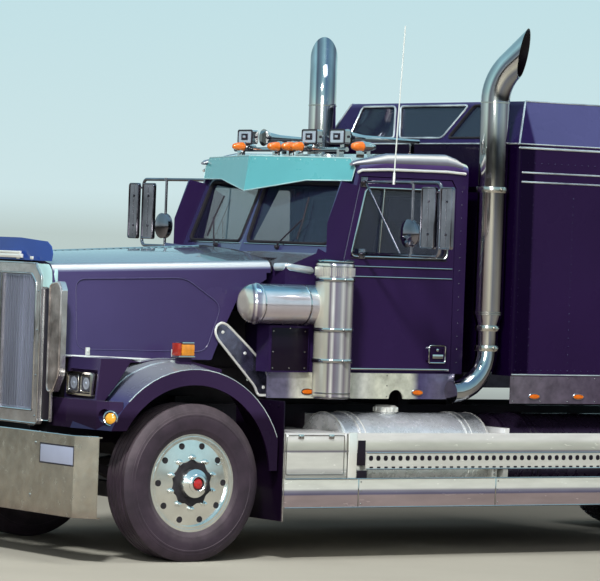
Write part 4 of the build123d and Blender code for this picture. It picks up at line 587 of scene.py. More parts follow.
def build_wheels():
    for side, hand in SIDES:
        body, out = f"wheel_front_{hand}", (0, side, 0)

        def hub(y):
            return 0, side * y, WHEEL_Z
        tyre_mesh(Piece(f"tyre_tread_front_{hand}", "tyre", body, 30, f"tyre_front_{hand}"), side * 1040, False)
        nuts = Piece(f"wheel_nuts_front_{hand}", "alu", body)
        wheel_nuts(nuts, 0, side * 1148.5, out, 34)
        nuts.ring([(0, 54), (5, 62), (14, 64), (20, 58), (22, 48), (18, 44), (4, 46)], hub(1219), out, 40)
        # Polished bead on the disc's rim and the valve.
        nuts.ring(BEAD, hub(1150), out, 72)
        valve = [(205, 1146, 120), (212, 1162, 124), (232, 1176, 135)]
        nuts.tube([(x, side * y, WHEEL_Z + z) for x, y, z in valve], 4.5)
        flange = Piece(f"hub_flange_front_{hand}", "iron", body)
        flange.lathe([(0, 150), (4, 150), (8, 140), (8, 112), (4, 106)], hub(1149), out, 80,
                     lambda a: 1 - 0.05 * math.cos(10 * a))
        flange.lathe([(0, 47), (6, 46), (8, 34), (8, 0)], hub(1219), out)
        for x, z in round_points(0, WHEEL_Z, 255, 10):
            flange.lathe([(0, 21.5), (2.2, 21.5), (2.2, 17.5), (0.4, 17.0), (0.4, 0)], (x, side * 1140.5, z), out, 20)
        cap = Piece(f"hub_cap_front_{hand}", "red", body)
        cap.lathe([(0, 29), (8, 28), (14, 18), (16, 0)], hub(1227), out, 28)
        cap.ring([(0, 31), (4, 34), (6, 31), (4, 28)], hub(1228), out, 28)
    for axle, x in (("middle", 5540), ("rear", 6860)):
        for side, hand in SIDES:
            body, out = f"wheels_{axle}_{hand}", (0, side, 0)
            tread = Piece(f"tyre_tread_{axle}_{hand}", "tyre", body, 30, f"tyres_{axle}_{hand}")
            for y in (1096, 764):
                tyre_mesh(tread, side * y, True)
            bmesh.ops.translate(tread.bm, verts=tread.bm.verts, vec=(x, 0, 0))
            nuts = Piece(f"wheel_nuts_{axle}_{hand}", "alu", body)
            wheel_nuts(nuts, x, side * 991.5, out, 30)
            nuts.ring([(0, 86), (4, 94), (10, 94), (12, 84)], (x, side * 1097, WHEEL_Z), out, 40)
            for bx, bz in round_points(x, WHEEL_Z, 72, 8, 0.5):
                nuts.bolt((bx, side * 1097.5, bz), out, 9, 10)
            nuts.ring(BEAD, (x, side * 1206, WHEEL_Z), out, 72)


# ---------------------------------------------------------------- front
LAMP_YS = (772, 928)
WING_FACE = -836


def build_front():
    # Bumper: blank number plate in a frame, bolt heads, a rolled edge.
    Piece("number_plate", "white").box((-880.8, -1085, 636), (-878, -660, 762), 0.4)
    rim = Piece("plate_frame", "plastic")
    for low, high in (((-881.4, -1091, 756), (-879, -654, 766)), ((-881.4, -1091, 632), (-879, -654, 642)),
                      ((-881.4, -1091, 632), (-879, -1081, 766)), ((-881.4, -664, 632), (-879, -654, 766))):
        rim.box(low, high, 1.5)
    trim = Piece("bumper_trim", "chrome")
    for y, z in ((-600, 758), (-546, 409), (546, 409), (600, 758)):
        trim.box((-881.5, y - 11, z - 11), (-878, y + 11, z + 11), 0.6)
    for side in (-1, 1):
        for z, radius in ((833, 5), (301, 4)):
            trim.tube([(-874, 0, z), (-874, side * 1088, z), (-775, side * 1222, z)], radius)

    # Headlamps: bezel, dark housing, two elements and the cover.
    bezels = Piece("headlamp_bezels", "steel", "hood", 35, "headlamps")
    elements = Piece("headlamp_elements", "lamp_face", "hood")
    housings = Piece("headlamp_housings", "plastic", "hood")
    covers = Piece("headlamp_lenses", "lens", "hood")
    for side in (-1, 1):
        outer = panel(side * 690, side * 1010, 1088, 1242, 14)
        inner = panel(side * 703, side * 997, 1101, 1229, 10)
        steps = (-680, outer), (-716, outer), (-720, inner), (-704, inner)
        bezels.skin([bezels.verts(at_x(x, outline)) for x, outline in steps], True)
        housings.box((-696, side * 700, 1092), (-662, side * 1000, 1238), 6)
        for y in (side * LAMP_YS[0], side * LAMP_YS[1]):
            bezels.tube(at_x(-709, panel(y - 62, y + 62, 1112, 1218, 14)), 4, 6, closed=True)
            elements.lathe([(0, 16), (4, 30), (12, 40), (14, 40), (14, 34)], (-694, y, 1168), AHEAD, 28)
            elements.lathe([(0, 12), (18, 10), (22, 0)], (-694, y, 1168), AHEAD, 14)
            for z in (1115, 1215):
                housings.lathe([(0, 6), (3, 5), (3, 0)], (-696, y + 55, z), AHEAD, 10)
            covers.plate(at_x(-707, panel(y - 66, y + 66, 1106, 1224, 12)), AHEAD, 4)

    # Turn lamps on the fenders: amber body, red-orange front, bright base and cap; round lamps below the headlamps.
    lenses = Piece("turn_lamp_lenses", "turn", "hood", 40, "marker_lamps")
    fronts = Piece("turn_lamp_fronts", "orange", "hood")
    rounds = Piece("round_lamps", "yellow", "hood")
    bases = Piece("turn_lamp_bases", "chrome", "hood")
    for side in (-1, 1):
        y = side * 1000
        lenses.box((-40, y - 43, 1364), (60, y + 43, 1440), 9)
        fronts.box((-70, y - 40, 1362), (-42, y + 40, 1448), 8)
        bases.box((-66, y - 44, 1351), (64, y + 44, 1364), 4)
        bases.box((-38, y - 40, 1440), (58, y + 40, 1456), 5)
        at, out = (-654, side * 1168, 952), (-0.80, side * 0.60, 0)
        rounds.lathe([(0, 38), (10, 36), (18, 24), (21, 0)], at, out, 28)
        bases.ring([(-14, 40), (-14, 50), (10, 52), (14, 46), (12, 41)], at, out, 36)

    # Grille: fine upright wires behind the bars, cross wires, a chrome edge and screws.
    wires = Piece("grille_wires", "grille", "hood", 30)
    for side in (-1, 1):
        for k in range(58):
            y = side * (14 + 7.4 * k)
            top = 1866 if abs(y) < 392 else 1866 - (abs(y) - 392)
            wires.box((-814, y - 1.6, 974), (-808, y + 1.6, top))
        wires.box((-816, side * 12, 1418), (-812, side * 446, 1421), 1)
    back = Piece("grille_backing", "grille_dark", "hood", 30)
    back.plate(at_x(-803, [(-449, 972), (449, 972), (449, 1808), (391, 1868), (-391, 1868), (-449, 1808)]), AHEAD, 1.5)
    back.box((-806, -440, 985), (-802.5, 440, 990))
    trim = Piece("grille_trim", "chrome", "hood")
    slots = Piece("side_slots", "near_black_and_painted_shade", "hood", 30)
    wings = Piece("wing_panels", "wing", "hood")
    nose = Piece("nose_corners", "pale", "hood")
    for half, low, high, cut, r in ((457, 965, 1876, 62, 6), (519, 880, 1944, 88, 5)):
        loop = rounded([(-half, low), (half, low), (half, high - cut), (half - cut, high), (-half + cut, high),
                        (-half, high - cut)], 16)
        trim.tube(at_x(-834, loop), r, closed=True)
    trim.tube([(-835, 0, 972), (-835, 0, 1868)], 9, 10)
    for side in (-1, 1):
        for z in (930, 1200, 1500, 1760):
            trim.lathe([(0, 7), (3, 6), (4, 0)], (-834, side * 488, z), AHEAD, 12)
        # Wing panel beside the grille: a slot in a rim and a rounded chrome cover.
        trim.tube(at_x(-808, panel(538, 640, 905, 1784, 20), side), 5, closed=True)
        slots.box((-812, side * 540, 908), (-808, side * 638, 1782), 1.5)
        wing = rounded([(645, 1100), (645, 1815), (765, 1835), (800, 1780), (800, 1215), (725, 1100)], 34)
        wings.plate(at_x(WING_FACE, wing, side), AHEAD, 6)
        edge = rounded([(650, 1106), (650, 1808), (762, 1828), (794, 1776), (794, 1218), (722, 1106)], 34)
        wings.tube(at_x(WING_FACE - 6, edge, side), 6, closed=True)
        # Rounded corner of the hood's nose behind the grille's shell, painted pale as a sky highlight.
        rows = []
        for z in range(1790, 1943, 19):
            inner = 522 - max(0, z - 1856) * 0.9
            outer = 612 - max(0, z - 1900) * 1.0
            rows.append([(-822 + 60 * (1 - math.cos(a)), side * (inner + (outer - inner) * math.sin(a)), z)
                         for a in (math.pi / 2 * j / 6 for j in range(7))])
        nose.grid(rows)

    # Deflector: two pale handles and clips.
    clips = Piece("deflector_clips", "bright", "hood")
    for y in (-430, -250, 250, 430):
        clips.box((-866, y - 16, 1968), (-854, y + 16, 1990), 4)
    clips.box((-880, -322, 1976), (-860, 322, 2004), 8)
    clips.box((-880, -300, 2004), (-862, 300, 2022), 7)


FENDER_EDGE_R = 716


def build_fender_edges():
    """Painted highlight lines along the outer edge and the front crease of each fender, and rolled edges of the guards
    behind the hood.
    """
    edges = Piece("fender_edges", "edge_shine", "hood")
    for side in (-1, 1):
        arc = [(-30 + FENDER_EDGE_R * math.cos(a), side * 1208, 565 + FENDER_EDGE_R * math.sin(a))
               for a in (math.radians(172 - 6 * k) for k in range(29))]
        edges.tube([(x, y, z) for x, y, z in arc if z > (1010 if x < -30 else 800)], 3.5)
    # Painted highlight line along each fender's front crease.
    crease = [(-563, 980, 1088), (-471, 956, 1175), (-411, 948, 1215), (-355, 947, 1244), (-289, 947, 1272),
              (-216, 940, 1296), (-146, 940, 1310), (-73, 938, 1319)]
    for side in (-1, 1):
        edges.tube([(x, side * y, z + 1) for x, y, z in crease], 5)
    guards = Piece("guard_edges", "bright")
    outline = rounded([(372, 1478), (352, 1520), (362, 1562), (400, 1586), (450, 1570), (620, 1430), (755, 1310),
                       (815, 1180), (815, 1096), (715, 1096), (690, 1155)], 22)
    for side in (-1, 1):
        guards.tube(at_y(side * 835, outline), 9, closed=True)
        for x, z in ((415, 1520), (600, 1380), (760, 1150)):
            guards.bolt((x, side * 834, z), (0, side, 0), 9, 8)


def hood_side(x):
    """Half width of the hood's shoulder and of its base, and the shoulder's height, at x."""
    t = (x + 795) / 1570
    return 600 + 250 * t, 655 + 220 * t, 1945 + 67 * t


def hood_point(side, x, z, out):
    """Point on a side of the hood at x and z, out millimetres off it."""
    shoulder, base, top = hood_side(x)
    t = (z - 1330) / (top - 55 - 1330)
    return Vector((x, side * (base + (shoulder - base) * t + out), z))


def build_hood():
    for side, hand in SIDES:
        # Raised edge of the side panel, with its lower moulding and side catches.
        outline = rounded([(-635, 1385), (-635, 1850), (150, 1880), (415, 1700), (300, 1385)], 70, 6)
        edge = Piece(f"hood_panel_edge_{hand}", "edge", "hood")
        edge.tube([hood_point(side, x, z, 1.0) for x, z in outline], 3.5, closed=True)
        moulding = Piece(f"hood_moulding_{hand}", "bright", "hood")
        moulding.tube([hood_point(side, -740 + 43 * k, 1342 - 20 * k / 18, 4) for k in range(19)], 7)
        for x in (-560, 60):
            p = hood_point(side, x, 1372, 0)
            moulding.box((p.x - 16, p.y, p.z - 26), (p.x + 16, p.y + side * 12, p.z + 26), 4)
            moulding.lathe([(0, 9), (4, 8), (5, 0)], (p.x, p.y + side * 12, p.z), (0, side, 0), 12)
    # Hinge strap along the middle, ornament at the nose and the rubber seal at the rear edge.
    strip = Piece("hood_hinge_strip", "chrome", "hood")
    for k in range(26):
        x = -770 + 58 * k
        z = 2010 + 85 * (x + 795) / 1570
        strip.box((x, -9, z - 3), (x + 50, 9, z + 4), 2)
    strip.tube([(-770, 0, 2013), (0, 0, 2056), (735, 0, 2096)], 5)
    ornament = Piece("hood_ornament", "chrome", "hood")
    ornament.lathe([(0, 30), (6, 30), (10, 20), (30, 12), (62, 15), (74, 8), (78, 0)], (-735, 0, 2012), UP, 20)
    ornament.box((-790, -5, 2030), (-690, 5, 2060), 4)
    half, _, top = hood_side(775)
    line = [(half - 4, 1940), (half - 12, top - 14), (half - 70, top + 6), (400, top + 62)]
    seal = Piece("hood_seal", "rubber", "hood")
    seal.tube(at_x(782, line, -1) + [(782, 0, top + 84)] + at_x(782, line[::-1]), 7)


# ---------------------------------------------------------------- cab
def pane(along, lean):
    """Unit vectors along and up a flat pane that leans back by lean per unit of height, and its normal ahead."""
    along = Vector(along).normalized()
    normal = along.cross(Vector((lean, 0, 1)).normalized()).normalized()
    normal = -normal if normal.x > 0 else normal
    up = normal.cross(along)
    return along, -up if up.z < 0 else up, normal


def build_cab():
    # Windscreen: rubber frame round each pane, wipers and a bright foot.
    seals, wipers = Piece("windscreen_seals", "rubber"), Piece("wipers", "plastic")
    trim = Piece("windscreen_trim", "chrome")
    width, height = Vector((130, 920, 0)).length, 505 * math.sqrt(1 + 0.16)
    for side in (-1, 1):
        along, up, normal = pane((130, side * 920, 0), 0.40)
        up.normalize()

        def spot(u, v, out):
            return Vector((1085, 0, 2095)) + along * u + up * v + normal * out
        loop = panel(47, width - 47, 47, height - 47, 45, 6)
        seals.tube([spot(u, v, 1) for u, v in loop], 11, closed=True)
        seals.tube([spot(u, v, -12) for u, v in loop], 8, 6, closed=True)
        pivot, tip = spot(width * 0.42, 8, 16), spot(width * 0.62, 215, 26)
        wipers.lathe([(-14, 16), (8, 15), (14, 9), (16, 0)], pivot, normal, 14)
        wipers.tube([pivot + normal * 8, pivot.lerp(tip, 0.3) + normal * 10, tip], 5.5, flat=0.6)
        blade = [spot(width * 0.62, 70, 17), spot(width * 0.62, 215, 19), spot(width * 0.60, 385, 17)]
        wipers.tube(blade, 6, flat=0.5)
        for t in (0.15, 0.85):
            p = blade[0].lerp(blade[2], t)
            wipers.box(p - Vector((6, 6, 6)), p + Vector((6, 6, 6)), 2)
        trim.tube([spot(30, 32, 3), spot(width - 30, 32, 3)], 4)

    # Drip rails over the doors, rivets up the cab's corners, cowl vents.
    rails, rivets = Piece("drip_rails", "bright"), Piece("cab_rivets", "paint")
    vents = Piece("cowl_vents", "plastic", smooth=30)
    # Dark box beside the cowl with its screws, and rounded shoulders of the cowl in line with the hood's, painted pale
    # as a highlight.
    screws, covers = Piece("cowl_box_fasteners", "steel"), Piece("cowl_box_covers", "near_black_and_painted_shade")
    shoulders = Piece("cowl_shoulders", "edge_shine")
    # Flaps between each front wheel and its step.
    flaps = Piece("front_flaps", "near_black_and_painted_shade")
    # Skirt lamps: oval ambers in bezels, and the skirts' screws.
    ovals, bezels = Piece("skirt_lamps", "amber"), Piece("skirt_lamp_bezels", "chrome")
    for side in (-1, 1):
        out = (0, side, 0)
        rails.tube(at_y(side * 975, [(1385, 2640), (1420, 2656), (1640, 2668), (2150, 2672), (2310, 2664)]), 10)
        for x, z, step, count in ((2290, 1340, 92, 14), (1268, 1320, 60, 12)):
            for k in range(count):
                rivets.rivet((x, side * 971, z + step * k), out)
        for k in range(7):
            y = side * (250 + 60 * k)
            vents.box((900, y, 2024), (985, y + side * 44, 2034), 3)
        for x, z in ((715, 1290), (715, 1400), (715, 1540), (850, 1290), (975, 1290), (975, 1400), (975, 1540),
                     (850, 1560)):
            screws.rivet((x, side * 1003, z), out, 6)
        covers.box((703, side * 1000.2, 1273), (1002, side * 1003, 1562), 1)
        shoulder = [(800, 872, 1972), (836, 950, 1976), (860, 958, 1974), (1020, 960, 1956), (1032, 950, 1954)]
        shoulders.tube([(x, side * y, z) for x, y, z in shoulder], 28, 14)
        flaps.box((674, side * 640, 268), (683, side * 1222, 1075), 3)
        for k in range(5):
            flaps.bolt((674, side * (720 + 110 * k), 1040), AHEAD, 7, 8)
        for x, y, z in [(1030, 968, 1129), (1961, 968, 1129)] + [(2810 + 395 * k, 1201, 1120) for k in range(5)]:
            ovals.plate(at_y(side * y, round_points(x, z, 42, 24, tall=15)), out, 9)
            ovals.plate(at_y(side * y, round_points(x, z, 34, 24, tall=10)), out, 4, 9)
            bezels.tube(at_y(side * (y + 3), round_points(x, z, 47, 24, tall=19)), 4, 6, closed=True)
        for x in (716, 1262, 1700, 2264):
            for z in (1100, 1175, 1245):
                bezels.rivet((x, side * 968.5, z), out)
        for k in range(9):
            for z in (1085, 1248):
                bezels.rivet((2620 + 245 * k, side * 1200.5, z), out)


# The cab roof's shoulder as (x, top), from its foot at the drip rail up.
ROOF_LINE = ((1352, 2700), (1375, 2715), (1480, 2739), (1640, 2775), (1900, 2783), (2150, 2790), (2230, 2768),
             (2290, 2740), (2304, 2722))
SHOULDER_FOOT = 2684


def build_roof_shoulders():
    """Full round shoulders along both sides of the cab roof, painted pale as the roof edge's highlight, and the whip
    aerial on the left mirror bracket.
    """
    piece = Piece("roof_shoulders", "cap")
    for side in (-1, 1):
        rings = []
        for x, top in ROOF_LINE:
            wide = 36 if 1352 < x < 2304 else 20
            centre, tall = (top + 4 + SHOULDER_FOOT) / 2, (top + 4 - SHOULDER_FOOT) / 2
            rings.append(piece.verts((x, side * (938 + wide * math.cos(a)), centre + tall * math.sin(a))
                                     for a in turns(28)))
        piece.skin(rings)
        piece.bm.faces.new(rings[0])
        piece.bm.faces.new(rings[-1][::-1])
    aerial = Piece("aerial", "bright", "door_left")
    aerial.tube([(1428, -1340, 2560), (1430, -1340, 2640)], 9, 10)
    aerial.tube([(1430, -1340, 2640), (1446, -1340, 3000), (1478, -1340, 3640)], 5)


def build_doors():
    for side, hand in SIDES:
        body, out = f"door_{hand}", (0, side, 0)
        trim = Piece(f"door_trim_{hand}", "chrome", body)
        window = rounded([(1352, 2062), (1465, 2540), (2165, 2540), (2175, 2062)], 42, 5)
        trim.tube(at_y(side * 972, window), 7, closed=True)
        # Divider of the vent window, belt mouldings and the lower edge strip.
        trim.tube([(1592, side * 964, 2066), (1622, side * 964, 2536)], 7)
        for z in (1995, 1925):
            trim.tube([(1318, side * 972, z), (2222, side * 972, z)], 5)
        trim.box((1312, side * 970, 1283), (2222, side * 975, 1295), 1.5)
        # Handle: square dished bezel with a paddle and a lock, and a small stop.
        trim.tube(at_y(side * 1001, panel(2028, 2168, 1338, 1458, 16)), 6, closed=True)
        trim.box((2052, side * 1001, 1368), (2144, side * 1012, 1398), 4)
        trim.lathe([(0, 11), (4, 11), (5, 8), (5, 0)], (2098, side * 1001, 1427), out, 16)
        trim.box((2100, side * 970, 1330), (2104, side * 980, 1334))
        seals = Piece(f"door_seals_{hand}", "rubber", body)
        seal = rounded([(1362, 2071), (1472, 2531), (2157, 2531), (2166, 2071)], 36, 5)
        seals.tube(at_y(side * 958, seal), 9, 6, closed=True)
        seals.tube([(1352, side * 968, 2050), (2175, side * 968, 2050)], 5, 6)
        gap = rounded([(1303, 1278), (1303, 2044), (1427, 2606), (2192, 2606), (2231, 2548), (2231, 1278)], 12)
        seals.tube(at_y(side * 962, gap), 3, 6, closed=True)
        # Inside of the door: padded card, pull and winder.
        card = Piece(f"door_card_{hand}", "plastic", body)
        card.box((1330, side * 919, 1300), (2205, side * 911, 2040), 4)
        card.box((1560, side * 919, 1700), (2020, side * 873, 1745), 12)
        card.lathe([(0, 26), (10, 24), (12, 0)], (1690, side * 919, 1610), (0, -side, 0), 20)

        # Mirrors: glass in the rear of each head, chrome backs with a ridge, brackets and bolts.
        mirror = Piece(f"mirror_trim_{hand}", "shade", body)
        glass = Piece(f"mirror_glass_{hand}", "mirror", body)
        for inner, outer in ((1682, 1843), (1897, 2032)):
            mid = side * (inner + outer) / 2
            outline = panel(inner + 6, outer - 6, 2136, 2541, 18)
            glass.plate(at_x(1435, outline, side), BACK, 2.5)
            mirror.tube(at_x(1412, outline, side), 5, closed=True)
            mirror.tube([(1413, mid, 2150), (1413, mid, 2527)], 6, flat=0.5)
            for z in (2230, 2450):
                mirror.bolt((1413, mid, z), AHEAD, 8, 8)
        mirror.lathe([(0, 92), (-6, 94), (-14, 80), (-24, 42), (-27, 0)], (1412, side * 1550, 2232), BACK, 36)
        mirror.ring([(0, 84), (4, 92), (-4, 95), (-6, 88)], (1442, side * 1550, 2232), BACK, 36)
        glass.lathe([(0, 84), (4, 70), (8, 40), (9, 0)], (1440, side * 1550, 2232), BACK)
        for z in (2575, 2082):
            mirror.box((1412, side * 970, z - 34), (1468, side * 980, z + 34), 3)
            for dx, dz in ((-18, -24), (18, -24), (-18, 24), (18, 24)):
                mirror.bolt((1440 + dx, side * 980, z + dz), out, 5, 5)
            mirror.ring([(0, 12), (0, 19), (22, 19), (22, 12)], (1440, side * 1550, z - 10), UP, 16)


# ---------------------------------------------------------------- roof, stacks and air cleaners
def build_roof():
    bezels, lenses = Piece("work_lamp_bezels", "plastic"), Piece("work_lamp_lenses", "lamp_face")
    for y in (515, -300, -640):
        bezels.tube(at_x(1435, panel(y - 88, y + 88, 2840, 2936, 12)), 6, closed=True)
        for dy in (-94, 94):
            bezels.lathe([(0, 9), (6, 9), (8, 0)], (1468, y + dy * 0.97, 2888), (0, dy, 0), 12)
        lenses.plate(at_x(1435, panel(y - 78, y + 78, 2850, 2926, 10)), AHEAD, 3)
        bezels.box((1428, y - 40, 2866), (1432, y + 40, 2912), 3)
        lenses.box((1425, y - 18, 2880), (1428, y + 18, 2898), 2)
    lenses = Piece("roof_marker_lenses", "amber", stands_for="roof_markers")
    bodies = Piece("roof_marker_bodies", "chrome")
    for y, r in ((530, 30), (80, 32), (-98, 32), (-210, 32), (-950, 33)):
        at = (1440, y, 2818)
        lenses.lathe([(0, r), (26, r + 2), (64, r * 0.9), (92, r * 0.6), (104, 0)], at, AHEAD, 24)
        bodies.ring([(0, r), (0, r + 8), (10, r + 8), (12, r + 2)], at, AHEAD, 24)
        bodies.lathe([(0, r + 4), (40, r), (95, r * 0.5), (112, 0)], (1441, y, 2818), BACK, 20)
        bodies.box((1392, y - 15, 2716 if abs(y) < 900 else 2740), (1440, y + 15, 2794), 4)
    # Visor: folded lower lip, painted pale as an edge highlight, and rivets.
    visor = Piece("visor_edge", "pale")
    for side in (-1, 1):
        along, up, normal = pane((0.27, side, 0), 0.19)
        foot = Vector((1097, 0, 2493))
        lip = [(0, 3), (560, 88), (968, 91), (982, 178), (930, 248), (0, 255)]
        visor.tube([foot + along * u + up * v + normal * -2 for u, v in lip], 5)
        for k in range(9):
            visor.rivet(foot + along * (60 + 105 * k) + up * 232 + normal * 0.4, normal)


BEND_Z, BEND_R = 3180, 350
STACK_X, STACK_Y, STACK_R = 2482, 1062, 102
PIPE_R, ELBOW_R = 76, 299


def bent_top(piece, axis, out, radius):
    """Curved top of a stack, turned to out and cut nearly upright; returns its open edge."""
    across = out.cross(Vector(UP))
    rings = []
    for k in range(11):
        # Ten rings round the bend, and one straight on from the last.
        if k < 10:
            a = math.radians(5 * k)
            centre = axis + out * BEND_R * (1 - math.cos(a)) + Vector((0, 0, BEND_Z + BEND_R * math.sin(a)))
            ahead = out * math.sin(a) + Vector((0, 0, math.cos(a)))
        else:
            centre = centre + ahead * 420
        rings.append(piece.circle(centre, across, ahead.cross(across), radius, 40))
    piece.skin(rings)
    normal = across.cross(out * 62 + Vector((0, 0, 359))).normalized()
    normal = normal if normal.dot(out) > 0 else -normal
    verts = {v for ring in rings for v in ring}
    geometry = [*verts, *{e for v in verts for e in v.link_edges}, *{f for v in verts for f in v.link_faces}]
    cut = bmesh.ops.bisect_plane(piece.bm, geom=geometry, plane_co=axis + out * 172 + Vector((0, 0, 3384)),
                                 plane_no=normal, clear_outer=True)["geom_cut"]
    return [e for e in cut if isinstance(e, bmesh.types.BMEdge)]


def build_stacks():
    x = STACK_X
    for side, hand in SIDES:
        y = side * STACK_Y
        axis, out = Vector((x, y, 0)), Vector((0.566, side * 0.824, 0)).normalized()
        stack = Piece(f"stack_{hand}", "tube", stands_for="exhaust_stacks" if side < 0 else None)
        ends = bent_top(stack, axis, out, STACK_R) + bent_top(stack, axis, out, STACK_R - 5)
        bmesh.ops.bridge_loops(stack.bm, edges=ends)
        stack.lathe([(1430, PIPE_R), (1600, PIPE_R), (1690, STACK_R), (BEND_Z, STACK_R)], axis, UP, 40)
        stack.tube([(x - ELBOW_R + ELBOW_R * math.cos(a), y, 1439 - ELBOW_R * math.sin(a))
                    for a in (math.pi / 16 * k for k in range(9))], PIPE_R, 28)
        for z, r in ((1450, 83), (1590, 83), (2560, 109)):
            stack.lathe([(-20, r), (20, r)], (x, y, z), UP, 40)
        stack.box((x - 30, side * 600, 2540), (x + 30, side * 1002, 2580), 3)
        stack.box((x - 30, side * 600, 2540), (2599, side * 640, 2580), 3)
        clamps = Piece(f"stack_clamps_{hand}", "steel")
        for z, r in ((2560, 109), (1450, 83), (1590, 83)):
            clamps.ring([(-20, r), (-20, r + 3), (-14, r + 5), (14, r + 5), (20, r + 3), (20, r)], (x, y, z))
            clamps.box((x - 12, y + side * (r + 2), z - 14), (x + 12, y + side * (r + 26), z + 14), 3)
            clamps.bolt((x + 12, y + side * (r + 15), z), BACK, 7, 10)
            clamps.tube([(x - 22, y + side * (r + 15), z), (x + 12, y + side * (r + 15), z)], 4)
        for z in (1688, 1702, 3170):
            clamps.ring([(-5, 101), (-3, 106), (3, 106), (5, 101)], (x, y, z))
        bent_top(Piece(f"stack_bore_{hand}", "black"), axis, out, 95.5)


def build_air_cleaners():
    for side, hand in SIDES:
        x, y = 1128, side * 1112
        bands = Piece(f"air_cleaner_bands_{hand}", "chrome")
        for z in (1350, 1560, 1900):
            bands.ring([(-12, 138), (-12, 141), (-8, 142), (8, 142), (12, 141), (12, 138)], (x, y, z))
            bands.box((x - 14, y + side * 138, z - 10), (x + 14, y + side * 158, z + 10), 3)
            bands.bolt((x + 14, y + side * 149, z), BACK, 6, 8)
        for z in (1100, 1130, 1990):
            bands.ring([(-4, 131), (-3, 135), (3, 135), (4, 131)], (x, y, z))
        bands.lathe([(0, 134), (6, 134), (16, 120), (22, 60), (24, 0)], (x, y, 2019), UP, 48)
        # Lip under the intake's nose and a ring where it meets the canister.
        bands.ring([(-5, 135), (-2, 140), (2, 140), (5, 135)], (560, side * 1000, 1722), BACK, 40)
        bands.ring([(-6, 135), (-3, 141), (3, 141), (6, 135)], (930, side * 1000, 1722), BACK, 40)
        mesh = Piece(f"air_cleaner_mesh_{hand}", "cleaner", smooth=30)
        for px, py in round_points(x, y, 134.5, 60):
            if side * py > 975:
                mesh.box((px - 2.4, py - 2.4, 1925), (px + 2.4, py + 2.4, 1982))


# ---------------------------------------------------------------- sleeper
def build_sleeper():
    trim, rivets = Piece("sleeper_trim", "edge_shine"), Piece("sleeper_rivets", "sleeper")
    seals = Piece("sleeper_window_seals", "rubber")
    for side in (-1, 1):
        y, out = side * 1200, (0, side, 0)
        for x, z, radius in ((2604, 2890, 5), (2604, 2862, 9), (2636, 2690, 7), (2636, 2624, 7)):
            trim.tube([(x, y, z), (4596, y, z)], radius, flat=0.9)
            trim.lathe([(0, 7), (5, 5), (7, 0)], (x, y, z), AHEAD, 10)
        trim.tube([(2752, side * 1060, 3196), (4596, side * 1060, 3196)], 6)
        trim.tube([(2604, side * 1197, 2892), (2748, side * 1061, 3194)], 7)
        trim.tube([(2604, y, 1272), (4596, y, 1272)], 5)
        for x in (2635, 2743, 3100, 3460, 3820, 4180, 4565):
            for k in range(22):
                rivets.rivet((x, side * 1200.5, 1300 + 58 * k), out)
        for k in range(33):
            for z in (2755, 1300):
                rivets.rivet((2625 + 60 * k, side * 1200.5, z), out)
    # Frames of the sloping front windows: half widths at the top and the foot, as shares of the slope.
    slope = math.hypot(310, 150)
    up, normal = Vector((150, 0, 310)).normalized(), Vector((-310, 0, 150)).normalized()
    for (top0, top1, foot1, foot0), edge in (((-415, 415, 260, -260), trim), ((-900, -480, -330, -900), seals),
                                             ((900, 480, 330, 900), trim)):
        top, foot = 0.92 * slope, 0.15 * slope
        outline = rounded([(top0, top), (top1, top), (foot1, foot), (foot0, foot)], 36, 5)
        points = [Vector((2600, y, 2885)) + up * v for y, v in outline]
        edge.tube([p + normal * 3 for p in points], 8, closed=True)
        seals.tube([p - normal * 4 for p in points], 10, 6, closed=True)
    trim.tube([(2600, -1196, 2890), (2600, 1196, 2890)], 6)
    for k in range(22):
        rivets.rivet((2599.5, -1155 + 110 * k, 2860), AHEAD)
    for side in (-1, 1):
        for k in range(24):
            rivets.rivet((2599.5, side * 1170, 1310 + 62 * k), AHEAD)
    # Rear wall: vertical stiffeners, a lamp each side, air and power sockets.
    ribs = Piece("sleeper_rear_ribs", "sleeper")
    for y in range(-1080, 1081, 270):
        ribs.box((4599, y - 16, 1330), (4606, y + 16, 3120), 3)
    sockets, lamps = Piece("trailer_sockets", "iron"), Piece("sleeper_rear_lamps", "lamp_face")
    for y, r in ((-160, 34), (-60, 34), (70, 42)):
        sockets.lathe([(0, r + 8), (8, r + 8), (10, r), (30, r), (36, r - 8), (36, 0)], (4600, y, 1420), BACK, 24)
        sockets.box((4612, y - 8, 1420), (4634, y + 8, 1420 + r + 16), 3)
    for side in (-1, 1):
        sockets.ring([(0, 30), (0, 48), (14, 50), (18, 40), (10, 30)], (4600, side * 700, 3020), BACK, 24)
        lamps.lathe([(0, 38), (10, 38), (16, 26), (18, 0)], (4600, side * 700, 3020), BACK, 24)


# ---------------------------------------------------------------- tanks, steps and frame
STRAP_R = 300.5
STEP_FACE = 1215


